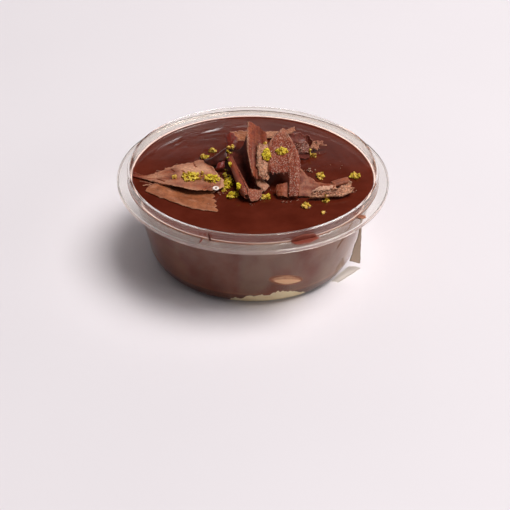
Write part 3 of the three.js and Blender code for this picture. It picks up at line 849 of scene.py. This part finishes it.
def bun_middle(u, v):
    across, up = 2 * u - 1, 2 * v - 1
    x = across * math.sqrt(max(0.0, 1 - 0.5 * up * up)) * BUN_HALF[0]
    y = up * math.sqrt(max(0.0, 1 - 0.5 * across * across)) * BUN_HALF[1]
    z = BUN_Z + y + BUN_TILT * x
    r = shell_radius(z, PATCH_INSET, BASE_T)
    return Vector(on_circle(math.radians(BUN_TURN) + x / r, r, z))


def bun_paint(u, v):
    inside = 1 - ease(math.hypot((u - 0.55) / 0.42, (v - 0.37) / 0.23), 0.8, 1.1)
    halo = 0.55 - 0.3 * ease(math.hypot((u - 0.5) / 0.5, (v - 0.5) / 0.5), 0.7, 1.0)
    return max(inside, halo), 0.0, 0.0


bm = sheet(bun_middle, thick=PATCH_T, cell=0.25, torn=0.0, blister=0.0, thin_edge=0.8, paint=bun_paint)
finish_piece(bm, "bun_at_wall", choux, "choux", ["choux_bun"])

# %% [markdown]
# ## The flakes at the left
# Two wide flakes lie almost flat, the lower one pale and smooth with a scalloped end, the upper one lifted
# along its front so that a dark slot shows beneath it.

# %% Left flakes
lower_flake = leaf(
    [(-38.9, -11.8, ON_CREAM_Z), (-36.0, -7.8, ON_CREAM_Z + 0.3), (-29.5, -9.2, ON_CREAM_Z),
     (-21.5, -10.0, ON_CREAM_Z), (-14.8, -12.2, ON_CREAM_Z)],
    [(-39.4, -12.8, ON_CREAM_Z), (-33.5, -16.8, ON_CREAM_Z), (-27.0, -21.0, ON_CREAM_Z),
     (-20.5, -24.4, ON_CREAM_Z), (-13.6, -25.6, ON_CREAM_Z)],
    far=lambda u: scallops(u + 0.1, 4.3, 1.3) - 0.6 + 0.9 * u)
upper_flake = leaf(
    [(-44.6, -1.2, 33.0), (-39.5, -2.6, 33.0), (-34.5, 0.8, 32.9), (-29.5, 4.8, 32.8), (-24.5, 6.6, 32.8),
     (-19.5, 8.8, 33.0), (-14.8, 3.0, 33.0)],
    [(-44.6, -3.0, 32.8), (-39.5, -5.4, 32.8), (-34.0, -8.6, 33.0), (-28.5, -11.9, 34.3),
     (-23.0, -14.9, 34.7), (-17.0, -14.8, 34.3), (-11.4, -12.4, 33.5)],
    hollow=0.35, far=lambda u: 2.2 * bump(u))


def upper_paint(u, v):
    # the two pale additions after the strip are painted highlights: one along the flake's right end, one on
    # a patch near its back that faces away from the light
    strip = (1 - ease(v, 0.02, 0.22)) * (0.4 + 0.6 * ease(u, 0.2, 0.7))
    front = ease(v, 0.94, 0.98)
    painted_glow = 0.5 * (1 - ease(math.hypot((u - 0.2) * 0.6, v - 0.74), 0.08, 0.24))
    pale = 0.27 + 0.1 * u + mottle(u, v, 0.7, 5) + front + painted_glow
    return pale, 0.3 * ease(mottle(v, u, 1.0), 0.0, 0.4), strip


CRACKS = [((-26.4, 1.0), (-24.6, -2.4)), ((-22.6, 6.6), (-21.4, 3.6)), ((-35.5, -4.6), (-32.6, -6.8)),
          ((-17.2, -13.2), (-14.4, -10.6)), ((-30.6, 2.0), (-29.4, 0.2))]
shave("left_lower", "pale", lower_flake, "left_lower_flake", thick=0.3, blister=0.03, seed=1,
      paint=lambda u, v: (mottle(u, v), 0.0, 0.0))
shave("left_upper", "milk", upper_flake, "left_upper_flake", thick=0.32, cell=0.22, torn=0.75, blister=0.12,
      seed=2, cracks=CRACKS, paint=upper_paint)

# %% Ridge flake and red chip
ridge_flake = leaf(
    [(-18.4, 8.6, 33.4), (-15.6, 7.6, 34.9), (-13.2, 8.6, 36.2), (-10.4, 10.6, 37.6)],
    [(-18.0, 6.8, 33.0), (-15.6, 4.9, 33.6), (-12.9, 5.2, 34.6), (-9.8, 6.8, 35.8)],
    hollow=-0.4, right_roll=(-0.8, 150))
red_chip = leaf([(-13.8, 1.6, 33.5), (-13.4, 3.2, 34.8)], [(-10.8, 2.2, 33.7), (-10.4, 4.6, 35.2)],
                hollow=-0.5)
shave("ridge", "dark", ridge_flake, "ridge_flake", cell=0.25, torn=0.5, blister=0.12, seed=3)
shave("red_chip", "dark", red_chip, cell=0.2, torn=0.4, blister=0.1, seed=12, paint=(0.0, 0.3, 1.0))

# %% Slivers
# thin curled slivers that came off the flakes: a line of points, the width, and (pale, pitted, ruddy)
SLIVERS = [
    (((-37.0, -6.6, 33.1), (-33.6, -8.9, 33.4), (-29.0, -10.8, 33.9)), 0.7, (0.5, 0.4, 0.3)),
    (((-41.6, -6.4, 32.7), (-39.2, -7.4, 32.9), (-36.6, -8.8, 32.8)), 0.5, (0.6, 0.2, 0.4)),
    (((-40.2, -9.2, 32.6), (-38.6, -9.0, 32.7), (-37.2, -9.2, 32.6)), 0.4, (1.0, 0.2, 0.0)),
    (((-44.5, 2.6, 33.2), (-44.6, -0.4, 33.3), (-42.6, -3.4, 33.3)), 0.5, (0.1, 0.0, 1.0)),
    (((22.6, 19.8, 35.4), (24.2, 20.2, 35.2), (26.0, 20.4, 34.9)), 0.9, (0.4, 0.4, 0.2)),
    (((24.0, 18.8, 34.3), (26.0, 19.2, 34.2), (28.2, 19.8, 33.9)), 0.8, (0.5, 0.4, 0.2)),
    (((22.6, 18.2, 34.2), (24.0, 18.6, 33.8), (25.4, 18.2, 33.3)), 0.6, (0.3, 0.2, 0.2)),
]
for number, (line, width, marks) in enumerate(SLIVERS):
    half = Vector((0, 0.55, 0.35)) * width / 2
    sliver = leaf([Vector(p) + half for p in line], [Vector(p) - half for p in line], hollow=-0.15 * width)
    shave(f"sliver_{number + 1}", "milk", sliver, thick=0.22, cell=0.15, torn=0.3, blister=0.08,
          seed=60 + number, paint=marks)

# %% [markdown]
# ## The curls in the middle
# Four rolled shavings lean on each other: a tight quill, an open trough painted dark as shade, the tall curl
# that rises at the back, and the widest one, which arches over the pile and stands on one leg.

# %% Quill
QUILL_NEAR, QUILL_FAR = Vector((-2.1, -19.4, 34.5)), Vector((-8.9, 4.2, 37.0))
QUILL_FACE = Vector((0, -0.56, 0.83))
QUILL_TURN = (40, 580)
QUILL_MOUTH_R, QUILL_R = 0.9, 1.75


def quill(u, v):
    """A tight roll of one and a half turns, pinched at its near end and narrower towards the far one."""
    axis = (QUILL_FAR - QUILL_NEAR).normalized()
    face_up = (QUILL_FACE - axis * QUILL_FACE.dot(axis)).normalized()
    rightward = axis.cross(face_up)
    angle = math.radians(lerp(*QUILL_TURN, u))
    wide = lerp(QUILL_MOUTH_R, QUILL_R, ease(v, 0, 0.12)) * lerp(1.0, 0.62, ease(v, 0.1, 1))
    r = wide * (1 - 0.42 * u)
    middle = QUILL_NEAR.lerp(QUILL_FAR, lerp(0.05 * u, 1 - 0.03 * u, v))
    return middle + face_up * (r * math.cos(angle)) + rightward * (r * math.sin(angle))


def quill_paint(u, v):
    return drawn(u, v, 0.6, 30), 0.9 * (1 - ease(v, 0.1, 0.4)), 0.45 + mottle(v, u, 0.4)


shave("quill", "milk", quill, "quill_curl", thick=0.35, torn=0.35, blister=0.07, seed=4, paint=quill_paint)

# %% Open trough
hollow = leaf(
    [(-4.0, -10.6, 33.2), (-6.0, -4.6, 34.4), (-8.0, 1.4, 35.6), (-9.6, 6.4, 36.6), (-10.6, 10.6, 37.2)],
    [(1.0, -10.0, 34.4), (-0.4, -4.2, 37.2), (-1.6, 1.6, 39.8), (-2.2, 7.0, 41.4), (-2.8, 12.4, 41.6)],
    hollow=2.6, far=lambda u: -1.6 * bump(u))
# the trough is drawn in the darker copy: painted shade inside it
shave("hollow", "deep", hollow, "hollow_curl", torn=0.5, blister=0.06, seed=5)

# %% Tall curl and its flap
tall = leaf(
    [(0.0, -9.4, 37.0), (-1.0, -4.6, 39.2), (-1.9, 0.4, 41.7), (-2.2, 5.0, 44.1), (-2.1, 9.6, 45.2),
     (-1.9, 12.8, 45.6)],
    [(2.6, -9.6, 36.8), (4.0, -4.5, 38.6), (4.9, 0.5, 40.6), (5.1, 5.0, 42.8), (4.8, 8.2, 44.0),
     (4.4, 10.2, 44.7)],
    hollow=0.55, left_roll=(0.4, 130),
    far=lambda u: 3.0 * (1 - ease(u, 0.5, 1.0)) - 1.4 * (1 - ease(u, 0.0, 0.3)))


def tall_ridged(u, v):
    """The tall curl with the soft ridges that the scraper left along it."""
    return tall(u, v) + Vector((0, -0.5, 0.5)) * drawn(u, v, 0.8, 5) * bump(u)


flap = leaf(
    [(1.8, -7.6, 37.2), (1.5, -4.2, 39.4), (1.3, -0.4, 41.4), (1.6, 3.8, 43.0)],
    [(5.8, -9.0, 36.0), (6.3, -4.4, 38.3), (5.8, -0.2, 40.4), (4.9, 4.0, 42.6)],
    hollow=-0.7, near=lambda u: 1.3 * bump(u) + scallops(u, 3, 0.5), far=lambda u: 0.5 * math.sin(9 * u))


def tall_paint(u, v):
    # painted highlights: paler along the left roll and towards the top, where the curl faces the light; the
    # drawn lines are the scraper's
    pale = 0.4 * (1 - ease(u, 0.1, 0.3)) + 0.2 * ease(v, 0.85, 1)
    pale += drawn(u, v, 0.9, 9) * (1.2 - ease(u, 0.2, 0.8))
    return pale - 0.2, 0.3 + 0.6 * (1 - ease(u, 0.15, 0.3)), 0.2 + mottle(v, u, 0.4)


def flap_paint(u, v):
    return 0.85 + mottle(u, v, 0.9, 12), 1.5 - 0.3 * ease(u, 0.5, 0.9), 0.0


shave("tall", "milk", tall_ridged, "tall_curl", thick=0.36, cell=0.24, torn=0.6, blister=0.07, seed=6,
      paint=tall_paint)
shave("flap", "milk", flap, "flap_flake", thick=0.4, cell=0.2, torn=0.7, blister=0.14, seed=13,
      paint=flap_paint)

# %% Bridge
BRIDGE_LEG = 0.68
bridge_sides = leaf(
    [(7.0, -17.4, 34.2), (7.0, -11.4, 37.0), (6.7, -5.4, 39.7), (6.4, 0.6, 41.5), (7.4, 6.4, 42.6),
     (9.3, 11.2, 43.0), (11.6, 15.4, 43.1)],
    [(14.8, -17.2, 33.8), (15.4, -12.4, 36.6), (15.8, -6.6, 39.2), (15.4, -0.4, 41.2), (14.2, 5.0, 42.1),
     (12.8, 9.6, 42.7), (12.6, 13.0, 42.9)],
    hollow=0.2, left_roll=(-1.3, 30, 215), right_roll=(-1.6, 60), far=lambda u: 0.5 * math.sin(12 * u))


def bridge(u, v):
    """The widest shaving, rolled under along its left and bent down at its right, with a hole and a leg."""
    hole = 0.245 + 0.05 * noise.noise(Vector((u * 11, 3.1, 0))) + 0.03 * bump((u - 0.45) / 0.35)
    place = bridge_sides(u, lerp(hole * (1 - ease(u, BRIDGE_LEG - 0.05, BRIDGE_LEG)), 1, v))
    crease = 1 - ease(abs(u - lerp(0.10, 0.36, v)), 0.0, 0.05)
    return place + Vector((0, 0.35, -0.6)) * crease * ease(v, 0.3, 0.8)


def bridge_paint(u, v):
    # the roll along the left is painted paler as a highlight, and the shaving is paler towards its far end
    on_roll = 1 - ease(u, lerp(0.04, 0.30, v), lerp(0.10, 0.37, v))
    return (0.5 * on_roll + 0.4 * ease(v, 0.65, 0.95) + mottle(u, v, 0.35), lerp(1.0, 0.2, on_roll),
            0.25 + 0.15 * (1 - on_roll) * (1 - ease(v, 0.5, 0.9)))


shave("bridge", "milk", bridge, "bridge_curl", cell=0.24, torn=0.55, blister=0.09, seed=7,
      paint=bridge_paint)

# %% [markdown]
# ## The fan at the right and the small pieces
# A broad flake leans against the bridge, with a blistered rim rolled under its front edge and a short
# block-like roll beside it. Small flakes and shards fill in behind and beneath, and a dark flake under the
# side block is a painted shadow. A flake stands in for the imported node of its own name where there is one.

# %% Fan
fan = leaf([(16.9, -15.8, 33.0), (16.8, -10.0, 35.6), (16.9, -4.4, 38.3)],
           [(30.4, -13.2, 34.0), (30.2, -10.8, 34.3), (30.0, -8.2, 34.3)],
           hollow=0.7, far=lambda u: -2.6 * bump(u), near=lambda u: 0.6 * bump(u))
fan_fold = leaf([(22.6, -13.2, 34.9), (25.6, -12.2, 35.2), (29.2, -10.8, 34.9)],
                [(21.6, -14.4, 34.1), (25.2, -13.9, 34.2), (28.9, -12.4, 34.4)], hollow=-0.1)
fan_rim = leaf([(20.6, -15.8, 33.8), (24.2, -14.9, 34.5), (28.4, -13.9, 34.9), (32.0, -12.0, 35.3),
                (35.0, -9.0, 35.5)],
               [(20.2, -16.9, 33.1), (24.2, -16.6, 33.1), (28.6, -15.8, 33.2), (32.4, -15.3, 33.2),
                (35.4, -12.9, 33.5)],
               hollow=0.3, right_roll=(0.42, 210), far=lambda u: scallops(u, 2.5, 1.0))
fan_roll = leaf([(28.8, -8.4, 34.6), (31.8, -6.8, 34.8), (34.8, -5.4, 34.9)],
                [(29.6, -9.9, 34.4), (32.4, -8.5, 34.6), (35.5, -7.1, 34.6)],
                hollow=-0.15, left_roll=(-0.8, 120), right_roll=(-0.7, 150))


def fan_rim_paint(u, v):
    return 0.45 + 0.4 * ease(v, 0.5, 1) + 0.6 * ease(u, 0.6, 0.8) + mottle(u, v, 0.7, 12), 1.5, 0.0


shave("fan", "milk", fan, "fan_flake", torn=0.5, blister=0.06, seed=8,
      paint=lambda u, v: (0.15 + mottle(u, v, 0.5), 0.2, 0.15))
# the fold curls up towards the light: its paleness is a painted highlight
shave("fan_fold", "pale", fan_fold, thick=0.28, cell=0.2, torn=0.7, blister=0.1, seed=14,
      paint=lambda u, v: (0.9 + mottle(u, v, 0.5), 0.4, 0.0))
shave("fan_rim", "milk", fan_rim, "fan_rim", cell=0.2, torn=0.9, blister=0.14, seed=9, paint=fan_rim_paint)
shave("fan_roll", "milk", fan_roll, "fan_roll", cell=0.2, torn=0.3, seed=10,
      paint=lambda u, v: (0.25 * bump(u * 5 % 1), 0.1, 0.15))

# %% Small flakes
# name, kind, left or back edge, right or front edge, hollow, (pale, pitted, ruddy)
SMALL_FLAKES = [
    ("inner_chip", "pale",
     ((4.1, -12.6, 33.4), (1.9, -11.2, 34.4), (0.3, -8.0, 35.8)),
     ((6.2, -10.4, 33.6), (3.9, -9.4, 35.0), (1.7, -7.4, 36.0)), -0.2, (0.3, 0.2, 0)),
    ("arch_chip", "pale in painted shade",
     ((9.0, -16.6, 33.1), (8.2, -14.2, 34.2), (8.3, -11.4, 35.2)),
     ((12.6, -17.0, 33.0), (13.0, -14.4, 34.2), (13.2, -11.6, 35.4)), -0.7, (0.05, 0.2, 0.2)),
    ("back_top_flake", "milk",
     ((11.0, 15.0, 42.0), (13.2, 16.8, 42.5), (15.4, 18.0, 42.7)),
     ((11.6, 13.4, 41.6), (13.5, 14.8, 42.0), (15.8, 15.8, 42.1)), -0.3, (0.4, 0.5, 0.1)),
    ("back_dark_shard", "dark",
     ((12.2, 17.4, 40.4), (15.4, 18.0, 40.2), (18.0, 19.2, 39.4), (20.4, 19.0, 38.2)),
     ((13.0, 15.6, 39.0), (15.4, 15.8, 37.4), (18.0, 16.6, 36.6), (19.8, 17.4, 36.8)), 0.4, (0.2, 0.2, 0.6)),
    ("back_right_shard", "dark",
     ((18.4, 17.2, 34.4), (18.2, 17.8, 36.4), (17.6, 18.4, 38.7)),
     ((22.6, 19.0, 34.2), (22.9, 19.3, 36.2), (21.2, 19.6, 38.3)), 0.5, (0.1, 0.2, 0.6)),
    ("side_block", "dark",
     ((17.0, 12.4, 34.4), (16.2, 14.0, 36.0), (15.6, 15.2, 37.6)),
     ((21.4, 14.2, 34.0), (20.9, 15.8, 35.6), (20.2, 17.0, 37.2)), -0.5, (0.35, 1.2, 0.4)),
    # under_block is a dark flake in the darker copy of the chocolate, put under the side block: a painted
    # shadow
    ("under_block", "deep",
     ((17.2, 10.8, 32.9), (17.0, 12.8, 34.2)),
     ((21.4, 12.0, 32.8), (21.6, 14.4, 33.9)), 0.3, (0.0, 0.1, 0.0)),
    ("pink_back_flake", "milk",
     ((22.0, 16.4, 34.6), (22.4, 18.2, 36.2)),
     ((24.6, 16.8, 33.8), (25.6, 18.6, 35.4)), -0.2, (0.6, 0.6, 0.3)),
    ("pink_back_chip", "milk",
     ((24.4, 18.6, 34.8), (24.0, 20.2, 36.0)),
     ((26.2, 18.8, 34.4), (26.8, 20.4, 35.6)), 0.2, (0.4, 0.4, 0.5)),
    ("back_pale_flake", "pale",
     ((-9.2, 20.2, 38.8), (-5.7, 20.9, 38.9), (-2.0, 20.6, 39.0)),
     ((-7.6, 16.4, 37.4), (-5.2, 16.0, 37.6), (-2.8, 15.4, 37.8)), 0.2, (0.1, 0, 0)),
    ("back_mid_flake", "milk",
     ((4.6, 20.4, 38.9), (7.0, 20.8, 39.0), (9.4, 21.0, 39.1)),
     ((5.0, 18.2, 38.0), (7.0, 18.4, 38.1), (8.8, 18.2, 38.2)), 0.1, (0.7, 0.2, 0.1)),
    ("small_pale_flake", "pale",
     ((5.3, 31.2, 33.0), (7.0, 31.4, 33.0), (8.8, 31.0, 33.1)),
     ((4.9, 26.4, 33.0), (6.6, 26.6, 33.1), (8.4, 27.0, 33.0)), 0.1, (0, 0, 0)),
    ("red_corner", "dark",
     ((-9.4, 9.2, 37.6), (-10.3, 12.2, 39.2), (-10.4, 15.4, 40.6)),
     ((-7.0, 9.0, 37.9), (-5.9, 11.4, 39.6), (-7.6, 15.6, 40.9)), -0.4, (0.1, 0.2, 1.0)),
    ("quill_foot", "milk",
     ((-0.9, -20.0, 33.4), (-1.3, -17.2, 34.4), (-1.3, -14.0, 35.0)),
     ((2.2, -18.6, 33.0), (3.5, -15.4, 33.3), (3.8, -12.6, 33.6)), 0.2, (0.25, 0.9, 0.45)),
]
for number, (name, kind, one_edge, other_edge, bend, (pale, pitted, ruddy)) in enumerate(SMALL_FLAKES):
    shave(name, kind, leaf(one_edge, other_edge, hollow=bend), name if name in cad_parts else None,
          thick=0.34, cell=0.2, torn=0.65, blister=0.1, seed=20 + number,
          paint=lambda u, v: (pale + mottle(u, v, 0.4), pitted, ruddy * (0.7 + mottle(v, u, 0.8))))

# %% [markdown]
# ## Chopped pistachio
# Each crumb starts as a small ball of triangles that noise breaks into an angular chunk. The crumbs are
# dropped onto whatever lies under them, thick in a few clusters and thin elsewhere, and joined in one mesh.

# %% Crumbs
def add_crumb(bm, centre, size, tone, seed):
    made = bmesh.ops.create_icosphere(bm, subdivisions=1, radius=1.0)["verts"]
    turn = Quaternion(Vector((random.random(), random.random(), random.random())).normalized(),
                      random.uniform(0, math.tau))
    stretch = Vector((random.uniform(0.7, 1.3), random.uniform(0.6, 1.1), random.uniform(0.5, 0.9)))
    layer = bm.verts.layers.float["tone"]
    for vert in made:
        rough = 1 + 0.9 * noise.noise(vert.co * 1.4 + Vector((seed, 0, 0)))
        rough += 0.6 * noise.noise(vert.co * 3.3 + Vector((0, seed, 0)))
        vert.co = turn @ Vector([c * s for c, s in zip(vert.co * rough, stretch)]) * size + centre
        vert[layer] = tone


def scatter(clusters, sizes):
    """One mesh of crumbs. A cluster is its centre x, y, half width and half depth in mm, the number of
    crumbs, and how far they are towards the drier colours."""
    bm = bmesh.new()
    bm.verts.layers.float.new("tone")
    seed = 0
    for x, y, half_x, half_y, count, tone in clusters:
        for _ in range(count):
            seed += 1
            away, turn = math.sqrt(random.random()), random.uniform(0, math.tau)
            spot_x, spot_y = x + half_x * away * math.cos(turn), y + half_y * away * math.sin(turn)
            size = lerp(*sizes, random.random() ** 1.8)
            heap = (1 - away * away) * min(1.0, 0.03 * count) * random.random()
            centre = Vector((spot_x, spot_y, top_under(spot_x, spot_y) + size * 0.4 + heap))
            add_crumb(bm, centre, size, clamp(tone + random.uniform(-0.35, 0.35)), seed * 7.3)
    return bm


# %% Pistachio crumbs
random.seed(11)
PISTACHIO_CLUSTERS = [
    (-15.7, 16.6, 1.2, 0.8, 9, 0.9), (-18.6, 12.0, 1.5, 1.0, 16, 0.6), (-22.8, -5.0, 2.8, 3.8, 62, 0.35),
    (-14.9, -5.4, 2.8, 3.3, 60, 0.25), (-9.6, -1.2, 1.4, 1.8, 18, 0.3), (-9.2, -6.8, 1.7, 3.4, 52, 0.25),
    (-7.3, -14.8, 2.4, 1.7, 52, 0.3), (4.9, -15.9, 1.6, 1.1, 20, 0.5), (4.9, -1.4, 1.2, 2.6, 46, 0.25),
    (10.3, 1.0, 2.1, 1.5, 38, 0.3), (4.0, 4.2, 0.9, 0.9, 9, 0.9), (22.5, 14.6, 1.6, 1.3, 18, 0.9),
    (25.1, -0.6, 1.7, 2.0, 26, 0.75), (38.0, -0.3, 2.0, 1.6, 26, 0.5), (18.9, -21.6, 1.2, 1.3, 15, 1.0),
    (26.4, -17.7, 1.4, 1.0, 10, 0.7), (-8.7, 8.6, 1.2, 1.3, 12, 0.7), (-28.9, -4.9, 0.6, 0.6, 5, 1.0),
    (-25.2, -2.4, 0.9, 0.8, 8, 0.9), (25.2, -25.9, 0.5, 0.5, 3, 1.0), (-9.6, 3.6, 1.1, 1.0, 9, 0.5),
    (-10.4, -12.0, 0.9, 0.8, 5, 0.9), (-18.5, -5.0, 7.5, 5.0, 22, 0.7),
]
bm = scatter(PISTACHIO_CLUSTERS, (0.24, 1.05))
finish_piece(bm, "pistachio_crumbs", pistachio, "pistachio", smooth=False)

# %% Chocolate crumbs
CHOCOLATE_CLUSTERS = [
    (21.0, 3.6, 2.4, 1.6, 16, 0.7), (36.6, -9.8, 1.4, 1.8, 12, 0.6), (24.6, 17.6, 3.0, 1.6, 10, 0.4),
    (20.6, -22.3, 0.9, 0.7, 5, 0.9), (12.0, -18.8, 2.2, 0.8, 7, 0.5), (17.0, 5.6, 1.2, 2.0, 7, 0.8),
    (-11.4, -13.6, 1.6, 1.2, 8, 0.7), (-10.4, -3.0, 1.2, 4.0, 10, 0.4), (3.4, -16.6, 3.0, 1.4, 10, 0.6),
    (8.0, -10.4, 2.0, 1.0, 14, 0.1), (-3.4, -7.0, 1.6, 2.6, 16, 0.1), (15.4, -17.0, 1.4, 0.6, 7, 0.6),
    (-28.8, 7.1, 0.3, 0.3, 2, 0.6), (-35.5, 1.9, 0.4, 0.4, 2, 0.6), (-38.6, -8.6, 1.6, 0.8, 5, 0.4),
    (26.0, -25.6, 0.8, 0.8, 3, 0.9), (31.0, 8.0, 4.0, 3.0, 5, 0.9), (-0.4, -20.6, 1.2, 0.5, 5, 0.2),
    (-16.0, -21.0, 0.3, 0.3, 1, 1.0), (16.8, 13.0, 2.0, 1.6, 8, 0.4), (3.4, -9.0, 1.8, 1.4, 10, 0.2),
]
bm = scatter(CHOCOLATE_CLUSTERS, (0.14, 0.38))
finish_piece(bm, "chocolate_crumbs", crumb_chocolate, "chocolate_shaving", smooth=False)

# %% [markdown]
# ## The loose film
# A torn corner of clear film hangs from under the rim at the right and leans on the wall. Its crumpled foot
# lies on the table, and a scuffed flap of it clings to the wall beside.

# %% Film
# name, material, left edge and right edge from top to bottom, bend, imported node. The points of the edges
# are angle from the front in degrees, radius and height
PANELS = [
    ("loose_film", film_plastic,
     ((56.6, 46.2, 30.4), (57.0, 45.8, 24.0), (55.0, 45.0, 18.0), (52.8, 44.5, 12.6)),
     ((57.8, 46.4, 30.4), (57.4, 46.6, 24.0), (57.2, 46.9, 17.0), (57.0, 47.2, 10.6)), 0.3, ["film_tab"]),
    ("loose_film_foot", film_clear,
     ((67.0, 39.6, 2.0), (60.0, 38.8, 2.2), (50.5, 38.2, 1.2)),
     ((70.0, 43.6, 1.0), (63.0, 42.4, 1.4), (53.0, 40.0, 0.6)), 0.3, []),
    ("loose_film_on_wall", film_scuffed,
     ((46.2, 40.75, 13.0), (46.0, 39.9, 10.0), (45.5, 39.05, 7.0)),
     ((61.0, 40.75, 13.0), (60.5, 39.6, 8.8), (59.0, 38.35, 4.6)), -1.3, []),
]
for name, material, *edges, bend, nodes in PANELS:
    left, right = ([on_circle(math.radians(turn), r, z) for turn, r, z in edge] for edge in edges)
    bm = sheet(leaf(left, right, hollow=bend), thick=0.12, cell=0.4, torn=0.2, blister=0.02, thin_edge=0.9,
               seed=80)
    finish_piece(bm, name, material, "clear_film", nodes)

# %% [markdown]
# ## Smears and a droplet
# Filling the cup left a wet smear of chocolate across the rim at the front right, a crumbly one further
# round, and two short ticks at the front left. A ring-shaped droplet sits where the flakes end.

# %% Smears
ON_LIP = 0.4  # the share of a smear's width that climbs the lip
# name, kind, angles from the front, radius in and out, thickness, height climbed on the lip, paint
SMEARS = [
    ("rim_smear_wet", "dark", (17.0, 28.8), (46.7, 49.0), 0.5, 2.0, (0.6, 0.2, 0.65)),
    ("rim_smear_dry", "milk", (52.0, 55.5), (47.0, 49.2), 1.1, 0.0, (0.3, 0.8, 0.0)),
    ("rim_tick_left", "dark", (-22.4, -21.6), (46.7, 49.4), 0.25, 0.4, (0.0, 0.1, 0.3)),
    ("rim_tick_lip", "dark", (-18.6, -17.4), (46.7, 47.0), 0.25, 2.9, (0.0, 0.1, 0.2)),
]
for number, (name, kind, turns, radii, thick, climb, marks) in enumerate(SMEARS):
    def smear(u, v):
        turn = math.radians(lerp(*turns, u) + 0.8 * (v - 0.5))
        taper = 0.35 + 0.65 * bump(u) ** 0.5
        r = lerp(*radii, max(0.0, (v - ON_LIP) / (1 - ON_LIP)) * taper)
        z = FLANGE_Z + 0.1 + climb * max(0.0, 1 - v / ON_LIP) * taper
        return Vector(on_circle(turn, r, z))

    bm = sheet(smear, thick=thick * 0.6, cell=0.2, torn=0.35, blister=0.15 * thick, thin_edge=0.2,
               seed=90 + number, paint=marks)
    finish_piece(bm, name, *KINDS[kind])

# %% Droplet
RING_R, RING_THICK = 0.74, 0.32
RING_STEPS, ROUND_STEPS = 36, 12
RING_STRETCH = (1.15, 1.25, 1.0)
RING_AT = (-13.5, -12.9)
bm = bmesh.new()
circle = bmesh.ops.create_circle(bm, segments=ROUND_STEPS, radius=RING_THICK)["verts"]
bmesh.ops.rotate(bm, verts=circle, cent=(0, 0, 0), matrix=Matrix.Rotation(math.radians(90), 3, "X"))
bmesh.ops.translate(bm, verts=circle, vec=(RING_R, 0, 0))
bmesh.ops.spin(bm, geom=bm.verts[:] + bm.edges[:], cent=(0, 0, 0), axis=(0, 0, 1), angle=2 * math.pi,
               steps=RING_STEPS, use_merge=True)
bmesh.ops.recalc_face_normals(bm, faces=bm.faces)
bmesh.ops.scale(bm, verts=bm.verts, vec=RING_STRETCH)
bmesh.ops.translate(bm, verts=bm.verts, vec=(*RING_AT, top_under(*RING_AT) + RING_THICK * 0.8))
finish_piece(bm, "cream_ring", whipped_cream, "pale_cream")
